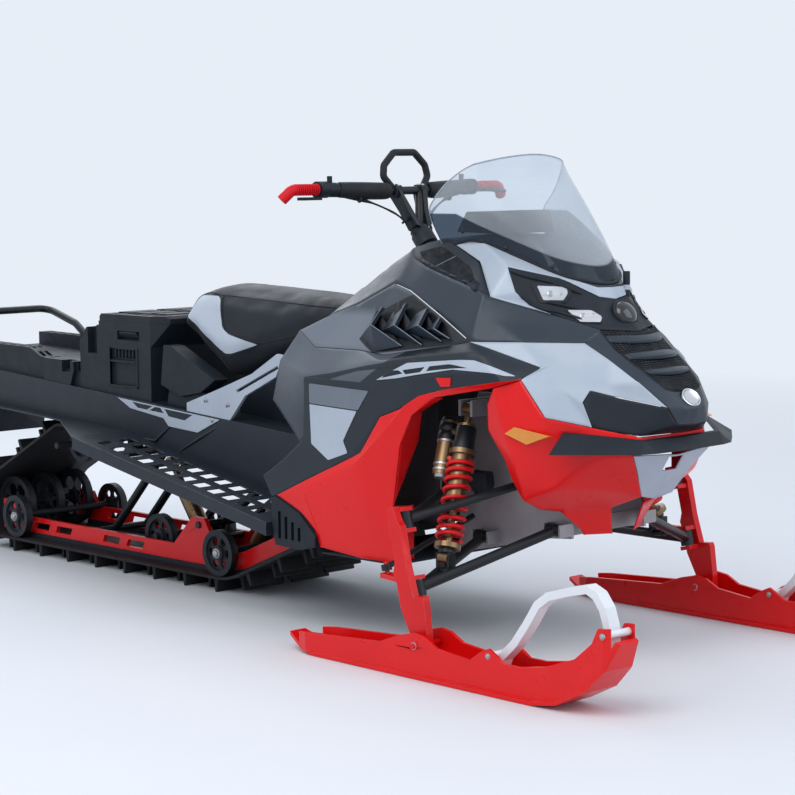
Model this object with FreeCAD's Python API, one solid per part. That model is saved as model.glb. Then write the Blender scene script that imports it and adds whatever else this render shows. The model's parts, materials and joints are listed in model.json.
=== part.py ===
import FreeCAD, Part
import math
import os

# Snowmobile in millimetres: +X forward, +Y to the rider's left, +Z up.
# The origin is on the ground under the middle of the overall length.

V = FreeCAD.Vector

# Driving dimensions of the layout
SKI_STANCE = 1050.0
SPINDLE_X = 1015.0
SKI_REAR_X = 538.0
SKI_TIP_X = 1650.0
REAR_END_X = -1650.0

# Track and drive
TRACK_WIDTH = 406.0
BELT = 8.0
LUG_HEIGHT = 38.0
LUG_COUNT = 54
LUG_ROOT = 16.0
LUG_TIP = 8.0
DRIVE_X = 300.0
DRIVE_Z = 330.0
DRIVE_RADIUS = 93.0
CARRIER_X = -950.0
CARRIER_Z = 363.0
CARRIER_RADIUS = 60.0
IDLER_X = -1320.0
IDLER_RADIUS = 90.0
RAIL_BEND_X = -190.0
RAIL_BEND_RADIUS = 250.0

# Skid
RAIL_Y = 145.0
RAIL_WIDTH = 14.0
SLIDER_HEIGHT = 14.0
RAIL_HEIGHT = 48.0
WHEEL_RADIUS = 67.0
WHEEL_WIDTH = 24.0
AXLE_RADIUS = 10.0
RUNNING_GAP = 0.3

# Tunnel and running boards
TUNNEL_HALF = 218.0
SHEET = 4.0
TUNNEL_REAR_X = -1560.0
TUNNEL_FRONT_X = 456.0
TUNNEL_TOP_Z = 499.0
TUNNEL_RISE = 0.0655
BOARD_OUTER_Y = 420.0
BOARD_FRONT_X = 293.7
BOARD_REAR_X = -576.0
BOARD_FRONT_Z = 280.4
BOARD_RISE = 0.1826
BOARD_EDGE = 36.0
FLANGE_Y = 262.0

# Front suspension
ARM_TUBE = 13.0
KINGPIN_CASTER = 14.5
KINGPIN_Y = SKI_STANCE / 2 - 20.0
KINGPIN_LOW_X = 962.0
KINGPIN_LOW_Z = 202.0
KINGPIN_SPAN = 167.0
PIN_RADIUS = 7.0
PIN_CLEARANCE = 0.3

# Body shell
WALL = 5.0
BELLY_Z = 220.0
SCREEN_WALL = 4.0
BUMPER_WALL = 14.0
BULKHEAD_HALF = 140.0

# Steering
POST_FOOT = V(700.0, 0.0, 745.0)
POST_HEAD = V(455.0, 0.0, 1040.0)


def prism(points, y0, y1):
    """Side-view outline (x, z) drawn out across the vehicle from y0 to y1."""
    wire = Part.makePolygon([V(x, y0, z) for x, z in points + points[:1]])
    return Part.Face(wire).extrude(V(0, y1 - y0, 0))


def slab(points, z0, z1):
    """Plan outline (x, y) drawn up from z0 to z1."""
    wire = Part.makePolygon([V(x, y, z0) for x, y in points + points[:1]])
    return Part.Face(wire).extrude(V(0, 0, z1 - z0))


def block(x0, x1, y0, y1, z0, z1):
    """Box between two corners."""
    return Part.makeBox(x1 - x0, y1 - y0, z1 - z0, V(x0, y0, z0))


def rod(start, end, radius):
    """Round bar between two points."""
    along = end - start
    return Part.makeCylinder(radius, along.Length, start, along)


def washer(centre, axis, outer, inner, length):
    """Ring centred on a point, with its bore along the axis."""
    start = centre - V(axis).normalize() * (length / 2)
    ring = Part.makeCylinder(outer, length, start, axis)
    return ring.cut(Part.makeCylinder(inner, length, start, axis))


def pipe(points, radius, bend):
    """Bent tube along the points, with each inner corner rounded to the bend radius."""
    edges = []
    last = points[0]
    for before, corner, after in zip(points, points[1:], points[2:]):
        back = (before - corner).normalize()
        ahead = (after - corner).normalize()
        half = back.getAngle(ahead) / 2
        reach = bend / math.tan(half)
        middle = (back + ahead).normalize() * (bend / math.sin(half) - bend)
        start = corner + back * reach
        end = corner + ahead * reach
        edges.append(Part.makeLine(last, start))
        edges.append(Part.Arc(start, corner + middle, end).toShape())
        last = end
    edges.append(Part.makeLine(last, points[-1]))
    path = Part.Wire(edges)
    ring = Part.Wire(Part.makeCircle(radius, points[0], points[1] - points[0]))
    return path.makePipeShell([ring], True, False)


def mirrored(shape):
    """The same piece on the other side of the centre plane."""
    return shape.mirror(V(0, 0, 0), V(0, 1, 0))


def pair(shape):
    """A right-hand piece with its left-hand twin."""
    return Part.Compound([shape, mirrored(shape)])


def joined(shapes):
    """One solid from pieces that share volume."""
    whole = shapes[0].fuse(shapes[1:])
    return whole.removeSplitter()


def largest(shape):
    """The one body of a cut piece, without crumbs."""
    return max(shape.Solids, key=lambda solid: solid.Volume)


def polyhedron(faces):
    """Closed solid from flat triangles and quads."""
    built = []
    for corners in faces:
        built.append(Part.Face(Part.makePolygon(list(corners) + [corners[0]])))
    shell = Part.Shell(built)
    shell.sewShape()
    solid = Part.Solid(shell)
    if solid.Volume < 0:
        solid.reverse()
    return solid


SPINE_REAR = V(330.0, 0.0, 520.0)
SPINE_FRONT = V(1000.0, 0.0, 600.0)


def inward(point, wall):
    """The point moved through the wall, towards the body's spine."""
    along = SPINE_FRONT - SPINE_REAR
    share = (point - SPINE_REAR).dot(along) / along.dot(along)
    foot = SPINE_REAR + along * min(1.0, max(0.0, share))
    return point + (foot - point).normalize() * wall


def strip(line, other):
    """Triangles between two character lines, taking the shorter diagonal each time."""
    a = [V(*p) for p in line]
    b = [V(*p) for p in other]
    i = 0
    j = 0
    faces = []
    while i < len(a) - 1 or j < len(b) - 1:
        step_a = (a[i + 1] - b[j]).Length if i < len(a) - 1 else math.inf
        step_b = (b[j + 1] - a[i]).Length if j < len(b) - 1 else math.inf
        if step_a <= step_b:
            faces.append((a[i], b[j], a[i + 1]))
            i += 1
        else:
            faces.append((a[i], b[j], b[j + 1]))
            j += 1
    return [face for face in faces if (face[1] - face[0]).cross(face[2] - face[0]).Length > 1.0]


def panel(strips, wall=WALL, offset=inward):
    """Shell of flat facets between pairs of lines, one wall thick."""
    faces = []
    for line, other in strips:
        faces += strip(line, other)
    closed = []
    edges = {}
    for face in faces:
        closed.append(face)
        closed.append(tuple(offset(p, wall) for p in face))
        for a, b in zip(face, face[1:] + face[:1]):
            ends = frozenset((tuple(a), tuple(b)))
            edges.setdefault(ends, []).append((a, b))
    for found in edges.values():
        if len(found) == 1:
            a, b = found[0]
            closed.append((a, b, offset(b, wall)))
            closed.append((a, offset(b, wall), offset(a, wall)))
    return polyhedron(closed)


def across(strips, wall=WALL):
    """Panel whose half ends on the centre plane, closed with its own mirror image."""
    half = panel(strips, wall)
    return joined([half, mirrored(half)])


def hull(lines):
    """Closed symmetrical solid between right-hand lines, from its crest round to its underside."""
    faces = []
    for line, other in zip(lines, lines[1:]):
        faces += strip(line, other)
    for end in (0, -1):
        ring = [V(*line[end]) for line in lines]
        faces += [(ring[0], a, b) for a, b in zip(ring[1:], ring[2:])]
    faces += [tuple(V(p.x, -p.y, p.z) for p in face) for face in faces]
    return polyhedron([face for face in faces if (face[1] - face[0]).cross(face[2] - face[0]).Length > 1.0])


def facet_block(corners, out, depth):
    """Thick four-sided piece: its outline moved out and in along one direction."""
    towards = V(*out).normalize()
    outer = [tuple(V(*c) + towards * depth / 2) for c in corners]
    return panel([(outer[:2], outer[:1:-1])], depth, lambda point, wall: point - towards * wall)


def band(line, thickness, y, half_width):
    """Flat strap of one thickness along a side-view line."""
    outer = []
    inner = []
    for k, (x, z) in enumerate(line):
        x0, z0 = line[max(k - 1, 0)]
        x1, z1 = line[min(k + 1, len(line) - 1)]
        length = math.hypot(x1 - x0, z1 - z0)
        nx = (z0 - z1) / length * thickness / 2
        nz = (x1 - x0) / length * thickness / 2
        outer.append((x + nx, z + nz))
        inner.append((x - nx, z - nz))
    return prism(outer + inner[::-1], y - half_width, y + half_width)


# Track loop
def loop_centres():
    """Round stretches of the belt, in running order: x, z, radius to the belt's inside."""
    ground = LUG_HEIGHT + BELT
    return [
        (RAIL_BEND_X, ground + RAIL_BEND_RADIUS, RAIL_BEND_RADIUS),
        (DRIVE_X, DRIVE_Z, DRIVE_RADIUS),
        (CARRIER_X, CARRIER_Z, CARRIER_RADIUS),
        (IDLER_X, ground + IDLER_RADIUS, IDLER_RADIUS),
    ]


def loop_tangents(offset):
    """Straight stretches of the loop at an offset outside the belt's inner face."""
    centres = loop_centres()
    lines = []
    for a, b in zip(centres, centres[1:] + centres[:1]):
        ra = a[2] + offset
        rb = b[2] + offset
        gap = math.hypot(b[0] - a[0], b[1] - a[1])
        heading = math.atan2(b[1] - a[1], b[0] - a[0])
        out = heading - math.pi / 2 + math.asin((ra - rb) / gap)
        ux = math.cos(out)
        uz = math.sin(out)
        lines.append(((a[0] + ra * ux, a[1] + ra * uz), (b[0] + rb * ux, b[1] + rb * uz), out))
    return lines


def loop_wire(offset, y):
    """Closed outline of the belt at an offset."""
    lines = loop_tangents(offset)
    centres = loop_centres()
    edges = []
    for k, (start, end, out) in enumerate(lines):
        following = lines[(k + 1) % len(lines)]
        cx, cz, radius = centres[(k + 1) % len(centres)]
        turn = (following[2] - out) % (2 * math.pi)
        mid = out + turn / 2
        half_way = V(cx + (radius + offset) * math.cos(mid), y, cz + (radius + offset) * math.sin(mid))
        edges.append(Part.makeLine(V(start[0], y, start[1]), V(end[0], y, end[1])))
        tail = V(following[0][0], y, following[0][1])
        edges.append(Part.Arc(V(end[0], y, end[1]), half_way, tail).toShape())
    return Part.Wire(edges)


def loop_places(offset, count):
    """Evenly spaced places round the loop: x, z and outward direction."""
    lines = loop_tangents(offset)
    centres = loop_centres()
    spans = []
    for k, (start, end, out) in enumerate(lines):
        following = lines[(k + 1) % len(lines)]
        cx, cz, radius = centres[(k + 1) % len(centres)]
        turn = (following[2] - out) % (2 * math.pi)
        spans.append((math.hypot(end[0] - start[0], end[1] - start[1]), "line", start, end, out))
        spans.append((turn * (radius + offset), "arc", (cx, cz, radius + offset), out, turn))
    total = sum(span[0] for span in spans)
    places = []
    for n in range(count):
        left = total * (n + 0.5) / count
        for length, kind, a, b, c in spans:
            if left > length:
                left -= length
                continue
            share = left / length
            if kind == "line":
                places.append((a[0] + (b[0] - a[0]) * share, a[1] + (b[1] - a[1]) * share, c))
            else:
                angle = b + c * share
                places.append((a[0] + a[2] * math.cos(angle), a[1] + a[2] * math.sin(angle), angle))
            break
    return places


# Lug blocks across the belt: share of the half width where each starts and ends
LUG_ROWS = [
    [(-0.97, -0.42), (-0.26, 0.26), (0.42, 0.97)],
    [(-0.80, -0.10), (0.10, 0.80)],
]


def track():
    """Endless belt with its lugs, as one fixed loop."""
    half = TRACK_WIDTH / 2
    outer = Part.Face(loop_wire(BELT, -half))
    inner = Part.Face(loop_wire(0.0, -half))
    belt = outer.cut(inner).extrude(V(0, TRACK_WIDTH, 0))
    lugs = []
    for n, (x, z, angle) in enumerate(loop_places(BELT, LUG_COUNT)):
        ux = math.cos(angle)
        uz = math.sin(angle)
        tx = -uz
        tz = ux
        sink = BELT / 2

        def corner(along, up):
            return (x + tx * along + ux * up, z + tz * along + uz * up)

        outline = [corner(-LUG_ROOT / 2, -sink), corner(LUG_ROOT / 2, -sink),
                   corner(LUG_TIP / 2, LUG_HEIGHT), corner(-LUG_TIP / 2, LUG_HEIGHT)]
        for low, high in LUG_ROWS[n % 2]:
            lugs.append(prism(outline, low * half, high * half))
    return belt.fuse(lugs)


# Skid: two rails on sliders, wheels on axles, swing arms and their dampers
RAIL_FOOT_Z = LUG_HEIGHT + BELT + SLIDER_HEIGHT
RAMP = loop_tangents(0.0)[0][2] + math.pi / 2


def rail_outline(low, high):
    """Rail side view between two heights above the belt, with the raised nose."""
    ground = LUG_HEIGHT + BELT
    nose = 255.0
    cx = RAIL_BEND_X
    cz = ground + RAIL_BEND_RADIUS
    s = math.sin(RAMP)
    c = math.cos(RAMP)

    def bent(height, share):
        radius = RAIL_BEND_RADIUS - height
        return (cx + radius * math.sin(RAMP * share), cz - radius * math.cos(RAMP * share))

    def ahead(height):
        x, z = bent(height, 1.0)
        return (x + nose * c, z + nose * s)

    rear = IDLER_X + 40.0
    lower = [(rear, ground + low), bent(low, 0.0), bent(low, 0.5), bent(low, 1.0), ahead(low)]
    upper = [ahead(high), bent(high, 1.0), bent(high, 0.5), bent(high, 0.0), (rear, ground + high)]
    return lower + upper


ARM_FOOT_X = -330.0
ARM_FOOT_Z = 175.0
REAR_ARM_X = -860.0

# Swing arms: foot x, foot z, head x, head z, share of the height of the damper's tube
SKID_ARMS = [
    (ARM_FOOT_X, ARM_FOOT_Z, -20.0, 375.0, 0.88),
    (REAR_ARM_X, 98.0, -590.0, 372.0, 0.8),
]

# Cross shafts between the rails at the dampers' feet: x, z
SHOCK_SHAFTS = [(-250.0, 98.0), (-480.0, 98.0)]


def skid_rails():
    """Both slide rails with the raised lug that carries the front arm."""
    y0 = -RAIL_Y - RAIL_WIDTH / 2
    y1 = -RAIL_Y + RAIL_WIDTH / 2
    top = LUG_HEIGHT + BELT + SLIDER_HEIGHT + RAIL_HEIGHT
    rail = prism(rail_outline(SLIDER_HEIGHT, SLIDER_HEIGHT + RAIL_HEIGHT), y0, y1)
    horn = prism([(ARM_FOOT_X - 130, top - 10), (ARM_FOOT_X + 90, top - 10),
                  (ARM_FOOT_X + 25, ARM_FOOT_Z + 22), (ARM_FOOT_X - 30, ARM_FOOT_Z + 22)], y0, y1)
    axle_z = LUG_HEIGHT + BELT + IDLER_RADIUS
    heel = prism([(IDLER_X - 22, RAIL_FOOT_Z), (IDLER_X + 120, RAIL_FOOT_Z), (IDLER_X + 60, axle_z + 18),
                  (IDLER_X - 22, axle_z + 18)], y0, y1)
    shape = joined([rail, horn, heel])
    bore_z = axle_z - RUNNING_GAP
    bore = rod(V(IDLER_X, y0 - 1, bore_z), V(IDLER_X, y1 + 1, bore_z), AXLE_RADIUS + PIN_CLEARANCE)
    shape = shape.cut(bore)
    for x in (-1130.0, -1010.0, -760.0, -640.0):
        window = prism([(x - 45, top - 36), (x + 35, top - 36), (x + 45, top - 14), (x - 35, top - 14)],
                       y0, y1)
        shape = shape.cut(window)
    for x, z, radius in axle_places():
        hole = rod(V(x, y0 - 1, z), V(x, y1 + 1, z), AXLE_RADIUS + PIN_CLEARANCE)
        shape = shape.cut(hole)
    hole = rod(V(ARM_FOOT_X, y0 - 1, ARM_FOOT_Z), V(ARM_FOOT_X, y1 + 1, ARM_FOOT_Z),
               AXLE_RADIUS + PIN_CLEARANCE)
    return pair(shape.cut(hole))


def sliders():
    """Low-friction strips under the rails."""
    strip = prism(rail_outline(0.5, SLIDER_HEIGHT), -RAIL_Y - RAIL_WIDTH / 2 - 5,
                  -RAIL_Y + RAIL_WIDTH / 2 + 5)
    return pair(strip)


def axle_places():
    """Axles through the rails: x, z, wheel radius."""
    ground = LUG_HEIGHT + BELT
    return [
        (RAIL_BEND_X, ground + WHEEL_RADIUS + RUNNING_GAP, WHEEL_RADIUS),
        (-1212.0, ground + WHEEL_RADIUS + RUNNING_GAP, WHEEL_RADIUS),
    ]


def wheel(x, y, z, radius, width):
    """Spoked idler wheel with a rubber tread."""
    centre = V(x, y, z)
    axis = V(0, 1, 0)
    rim = washer(centre, axis, radius, radius - 16, width)
    hub = washer(centre, axis, 22, AXLE_RADIUS, width)
    web = washer(centre, axis, radius - 15, 21, 8)
    for k in range(6):
        angle = k * math.pi / 3
        hx = x + (radius + 5) / 2 * math.cos(angle)
        hz = z + (radius + 5) / 2 * math.sin(angle)
        web = web.cut(rod(V(hx, y - width, hz), V(hx, y + width, hz), (radius - 42) / 2))
    return joined([rim, web, hub])


def wheel_set(x, z, radius, ys, reach):
    """Wheels on one axle, joined by it."""
    shapes = [rod(V(x, -reach, z), V(x, reach, z), AXLE_RADIUS)]
    for y in ys:
        shapes.append(wheel(x, y, z, radius, WHEEL_WIDTH))
    return joined(shapes)


def skid_wheels():
    """Every idler, carrier and rear wheel set of the skid."""
    sets = []
    for x, z, radius in axle_places():
        sets.append(wheel_set(x, z, radius, (-186.0, 186.0), 200.0))
    ground = LUG_HEIGHT + BELT
    sets.append(wheel_set(IDLER_X, ground + IDLER_RADIUS - RUNNING_GAP, IDLER_RADIUS - 2 * RUNNING_GAP,
                          (-112.0, 0.0, 112.0), RAIL_Y + 12))
    sets.append(wheel_set(-560.0, ground + WHEEL_RADIUS + RUNNING_GAP, WHEEL_RADIUS, (-112.0, 112.0),
                          RAIL_Y - RAIL_WIDTH / 2 - RUNNING_GAP))
    sets.append(wheel_set(CARRIER_X, CARRIER_Z, CARRIER_RADIUS - RUNNING_GAP, (-112.0, 112.0),
                          TUNNEL_HALF - SHEET))
    return Part.Compound(sets)


def drive_axle():
    """Toothed drive sprockets on their shaft, in mesh with the belt's inside."""
    shapes = [rod(V(DRIVE_X, -TUNNEL_HALF + SHEET, DRIVE_Z), V(DRIVE_X, TUNNEL_HALF - SHEET, DRIVE_Z), 17)]
    teeth = 8
    for y in (-95.0, 95.0):
        disc = Part.makeCylinder(DRIVE_RADIUS - 14, 24, V(DRIVE_X, y - 12, DRIVE_Z), V(0, 1, 0))
        shapes.append(disc)
        for k in range(teeth):
            angle = 2 * math.pi * (k + 0.5) / teeth
            ux = math.cos(angle)
            uz = math.sin(angle)
            outline = []
            for along, up in ((-16, DRIVE_RADIUS - 24), (16, DRIVE_RADIUS - 24),
                              (8, DRIVE_RADIUS - 3), (-8, DRIVE_RADIUS - 3)):
                outline.append((DRIVE_X + ux * up - uz * along, DRIVE_Z + uz * up + ux * along))
            shapes.append(prism(outline, y - 12, y + 12))
    return joined(shapes)


def skid_arms():
    """Front and rear swing arms between the tunnel and the rails, and the dampers' shafts."""
    arms = []
    inner = RAIL_Y - RAIL_WIDTH / 2 - RUNNING_GAP
    top_reach = TUNNEL_HALF - SHEET
    for foot_x, foot_z, top_x, top_z, share in SKID_ARMS:
        reach = inner
        if foot_x == ARM_FOOT_X:
            reach = RAIL_Y + 12
        foot = rod(V(foot_x, -reach, foot_z), V(foot_x, reach, foot_z), AXLE_RADIUS)
        head = rod(V(top_x, -top_reach, top_z), V(top_x, top_reach, top_z), 14)
        legs = [rod(V(foot_x, y, foot_z), V(top_x, y, top_z), 13) for y in (-62.0, 62.0)]
        mid_x = foot_x + (top_x - foot_x) * share
        mid_z = foot_z + (top_z - foot_z) * share
        tie = rod(V(mid_x, -62, mid_z), V(mid_x, 62, mid_z), AXLE_RADIUS)
        arms.append(joined([foot, head, tie] + legs))
    for x, z in SHOCK_SHAFTS:
        arms.append(rod(V(x, -inner, z), V(x, inner, z), AXLE_RADIUS))
    return Part.Compound(arms)


def skid_shocks():
    """Two dampers of the skid, lying along the centre line."""
    dampers = []
    for shaft, arm in zip(SHOCK_SHAFTS, SKID_ARMS):
        low = V(shaft[0], 0, shaft[1])
        foot_x, foot_z, top_x, top_z, share = arm
        high = V(foot_x + (top_x - foot_x) * share, 0, foot_z + (top_z - foot_z) * share)
        along = (high - low).normalize()
        length = (high - low).Length
        shapes = [rod(low + along * 14, low + along * (length * 0.6), 26),
                  rod(low + along * (length * 0.55), high - along * 14, 11)]
        for end in (low, high):
            shapes.append(washer(end, V(0, 1, 0), 18, AXLE_RADIUS + RUNNING_GAP, 30))
        dampers.append(joined(shapes))
    return Part.Compound(dampers)


# Tunnel and boards
def tunnel_top(x):
    """Height of the tunnel's top face at a station."""
    return TUNNEL_TOP_Z - x * TUNNEL_RISE


def board_z(x):
    """Height of the running board's top face at a station."""
    return BOARD_FRONT_Z + (BOARD_FRONT_X - x) * BOARD_RISE


FLANGE_REAR_Z = 492.0


def side_foot(x):
    """Lower edge of the tunnel's side."""
    if x > BOARD_REAR_X:
        return board_z(x) - SHEET
    share = (BOARD_REAR_X - x) / (BOARD_REAR_X - TUNNEL_REAR_X)
    return board_z(BOARD_REAR_X) - SHEET + share * (FLANGE_REAR_Z - board_z(BOARD_REAR_X))


def tunnel():
    """Folded sheet over the track, closed in front of the sprocket."""
    xr = TUNNEL_REAR_X
    xf = TUNNEL_FRONT_X
    outline = [(xr, tunnel_top(xr)), (xf, tunnel_top(xf)), (xf, side_foot(BOARD_FRONT_X)),
               (BOARD_FRONT_X, side_foot(BOARD_FRONT_X)), (BOARD_REAR_X, side_foot(BOARD_REAR_X)),
               (xr, side_foot(xr))]
    body = prism(outline, -TUNNEL_HALF, TUNNEL_HALF)
    hollow = [(xr - 1, tunnel_top(xr - 1) - SHEET), (xf - SHEET, tunnel_top(xf - SHEET) - SHEET),
              (xf - SHEET, 0), (xr - 1, 0)]
    body = body.cut(prism(hollow, -TUNNEL_HALF + SHEET, TUNNEL_HALF - SHEET))
    return body.cut(anchor_bores(ANCHOR_RADIUS + ANCHOR_ROOM))


# Anchor holes of the rear deck, which go on through the tunnel's top
ANCHOR_XS = [-1420.0, -980.0]
ANCHOR_Y = 140.0
ANCHOR_RADIUS = 8.0
ANCHOR_ROOM = 4.0
DECK_TOP_Z = 668.0


def anchor_bores(radius):
    """Upright bores at the deck's four anchors."""
    bores = []
    for x in ANCHOR_XS:
        for y in (-ANCHOR_Y, ANCHOR_Y):
            bores.append(rod(V(x, y, TUNNEL_TOP_Z), V(x, y, DECK_TOP_Z + SHEET), radius))
    return bores


BOARD_SLOTS = 12
BOARD_SLOT_ROWS = [(-385.0, -335.0), (-310.0, -260.0)]
BOARD_SLOT_SHARE = 0.62
BOARD_END = 70.0
BOARD_RIM = 26.0
FLANGE_KINK = 285.0


def running_boards():
    """Open-grip boards with a folded edge, and the narrow flange behind them."""
    inner = TUNNEL_HALF
    xf = BOARD_FRONT_X
    xr = BOARD_REAR_X
    zf = board_z(xf)
    zr = board_z(xr)
    sheet = prism([(xr, zr), (xf, zf), (xf, zf - SHEET), (xr, zr - SHEET)], -BOARD_OUTER_Y, -inner)
    slots = []
    pitch = (xf - xr - 120) / BOARD_SLOTS
    for k in range(BOARD_SLOTS):
        x = xr + BOARD_END + pitch * k
        for y0, y1 in BOARD_SLOT_ROWS:
            slots.append(block(x, x + pitch * BOARD_SLOT_SHARE, y0, y1, BELLY_Z, TUNNEL_TOP_Z))
    sheet = sheet.cut(Part.Compound(slots))
    rim = prism([(xr, zr), (xf, zf), (xf, zf - BOARD_EDGE), (xr, zr - BOARD_EDGE)],
                -BOARD_OUTER_Y, -BOARD_OUTER_Y + BOARD_RIM)
    kink = xr - FLANGE_KINK
    tail = TUNNEL_REAR_X + 60.0
    zk = side_foot(kink) + SHEET
    zt = side_foot(tail) + SHEET
    z0 = board_z(xr)
    base = min(z0 - SHEET, zk - SHEET, zt - SHEET)
    wedge = slab([(xr, -inner), (xr, -BOARD_OUTER_Y), (kink, -FLANGE_Y), (tail, -FLANGE_Y), (tail, -inner)],
                 base - 20, zt + 20)
    layer = prism([(xr, z0), (xr, z0 - SHEET), (tail, zt - SHEET), (tail, zt)], -BOARD_OUTER_Y, -inner)
    flange = wedge.common(layer)
    return pair(joined([sheet, rim, flange]))


# Front suspension, right side
def kingpin(height):
    """Point on the right kingpin axis, measured along it from the lower ball."""
    lean = math.radians(KINGPIN_CASTER)
    return V(KINGPIN_LOW_X - height * math.sin(lean), -KINGPIN_Y, KINGPIN_LOW_Z + height * math.cos(lean))


KINGPIN_AXIS = (kingpin(1.0) - kingpin(0.0)).normalize()
EYE_RADIUS = 18.0
EYE_LENGTH = 40.0


def eye(centre, axis):
    """Bored end of an arm round the kingpin."""
    return washer(centre, axis, EYE_RADIUS, PIN_RADIUS + PIN_CLEARANCE, EYE_LENGTH)


def wishbone(ball, inner_points, radius):
    """Two tubes from the arm's eye to its inner pivots."""
    shapes = []
    for point in inner_points:
        towards = (point - ball).normalize()
        shapes.append(rod(ball + towards * (EYE_RADIUS - 4), point, radius))
        shapes.append(rod(point - V(BARREL_HALF, 0, 0), point + V(BARREL_HALF, 0, 0), BARREL_RADIUS))
    whole = shapes[0].fuse(shapes[1:])
    core = Part.makeCylinder(PIN_RADIUS + PIN_CLEARANCE, 80, ball - KINGPIN_AXIS * 40, KINGPIN_AXIS)
    return whole.fuse(eye(ball, KINGPIN_AXIS)).cut(core).removeSplitter()


LOWER_INNER = [V(1098.0, -165.0, 318.0), V(850.0, -165.0, 275.0)]
UPPER_INNER = [V(1040.0, -195.0, 436.0), V(770.0, -195.0, 400.0)]
BARREL_HALF = 24.0
BARREL_RADIUS = 16.0
SHOCK_FOOT = V(950.0, 105.0 - KINGPIN_Y, 262.0)
SHOCK_HEAD = V(888.0, -250.0, 613.0)
SHOCK_EYE = 14.0
SHOCK_EYE_HALF = 16.0


def lower_arm():
    """Lower A-arm with the cross tube and the damper's lug."""
    ball = kingpin(0.0)
    arm = wishbone(ball, LOWER_INNER, ARM_TUBE)
    share = (SHOCK_FOOT.y - ball.y) / (LOWER_INNER[0].y - ball.y)
    a = ball + (LOWER_INNER[0] - ball) * share
    b = ball + (LOWER_INNER[1] - ball) * share
    shapes = [arm, rod(a, b, 9)]
    for side in (-1, 1):
        x0 = SHOCK_FOOT.x + side * (SHOCK_EYE_HALF + RUNNING_GAP)
        x1 = x0 + side * 6
        shapes.append(block(min(x0, x1), max(x0, x1), SHOCK_FOOT.y - 12, SHOCK_FOOT.y + 12,
                            b.z, SHOCK_FOOT.z + 12))
    return joined(shapes)


def upper_arm():
    """Upper A-arm."""
    return wishbone(kingpin(KINGPIN_SPAN), UPPER_INNER, 11)


def knuckle():
    """Forged leg from the upper ball down to the ski's pivot, with its steering arm."""
    lean = math.radians(KINGPIN_CASTER)
    y_in = -KINGPIN_Y - EYE_RADIUS - 5
    y_out = y_in - 20

    def p(along, ahead):
        base = kingpin(along)
        return (base.x + ahead * math.cos(lean), base.z + ahead * math.sin(lean))

    outline = [p(-150, 2), p(-150, 36), p(-112, 46), p(-34, 56), p(-24, 54), p(-18, 22), p(60, 18),
               p(KINGPIN_SPAN - 14, 22), p(KINGPIN_SPAN, 14),
               p(KINGPIN_SPAN + 34, 8), p(KINGPIN_SPAN + 34, -12),
               p(KINGPIN_SPAN, -18), p(70, -20), p(46, -32), p(20, -26), p(-40, -28), p(-96, -14)]
    leg = prism(outline, y_out, y_in)
    shapes = [leg]
    half = EYE_LENGTH / 2
    for centre in (0.0, KINGPIN_SPAN):
        for side in (-1, 1):
            low = centre + side * (half + 1 + 5) - 5
            outline = [p(low, -16), p(low, 16), p(low + 10, 16), p(low + 10, -16)]
            ear = prism(outline, y_in - 2, -KINGPIN_Y + 14)
            shapes.append(ear)
        shapes.append(rod(kingpin(centre - half - 8), kingpin(centre + half + 8), PIN_RADIUS))
    arm_x = kingpin(STEER_HEIGHT).x
    arm_z = kingpin(STEER_HEIGHT).z
    plan = [(arm_x + 10, y_in), (arm_x + 10, y_out), (STEER_X - 14, -KINGPIN_Y - 20),
            (STEER_X - 14, -KINGPIN_Y + 8), (STEER_X + 14, -KINGPIN_Y + 8), (arm_x - 24, y_in)]
    arm = slab(plan, arm_z - STEER_HALF, arm_z + STEER_HALF)
    shapes.append(arm)
    foot = V(STEER_X, -KINGPIN_Y - 6, arm_z)
    shapes.append(rod(foot, foot + KINGPIN_AXIS * 34, 6))
    axle_end = SKI_RAIL_Y + 12
    middle = V(SPINDLE_X, -SKI_STANCE / 2, SKI_PIVOT_Z)
    axle = rod(middle - V(0, axle_end, 0), middle + V(0, axle_end, 0), SKI_AXLE_RADIUS)
    shapes.append(axle)
    return joined(shapes)


STEER_X = 862.0
STEER_HEIGHT = 20.0
STEER_HALF = 6.0
SKI_PIVOT_Z = 78.0
SKI_AXLE_RADIUS = 7.0
TIE_INNER = V(862.0, -215.0, 335.0)


def tie_rod():
    """Tube with a rod end on the knuckle's steering arm."""
    base = V(STEER_X, -KINGPIN_Y - 6, kingpin(20.0).z) + KINGPIN_AXIS * 20
    ring = washer(base, KINGPIN_AXIS, 13, 6 + PIN_CLEARANCE, 16)
    towards = (TIE_INNER - base).normalize()
    tube = rod(base + towards * 11, TIE_INNER, 7)
    return joined([ring, tube])


def shock_damper():
    """Damper body, rod and the reservoir beside it."""
    foot, head = SHOCK_FOOT, SHOCK_HEAD
    axis = (head - foot).normalize()
    length = (head - foot).Length
    shapes = [rod(foot, foot + axis * length, 9), rod(foot + axis * 150, foot + axis * (length - 46), 24)]
    shapes.append(rod(foot + axis * 22, foot + axis * 34, 33))
    shapes.append(rod(foot + axis * 262, foot + axis * 274, 33))
    for end in (foot, head):
        shapes.append(rod(end - V(SHOCK_EYE_HALF, 0, 0), end + V(SHOCK_EYE_HALF, 0, 0), SHOCK_EYE))
    side = V(-62.0, 0.0, 0.0)
    shapes.append(rod(foot + axis * 205 + side, foot + axis * 345 + side, 22))
    shapes.append(rod(foot + axis * 320 + side, foot + axis * 320, 10))
    return joined(shapes)


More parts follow.
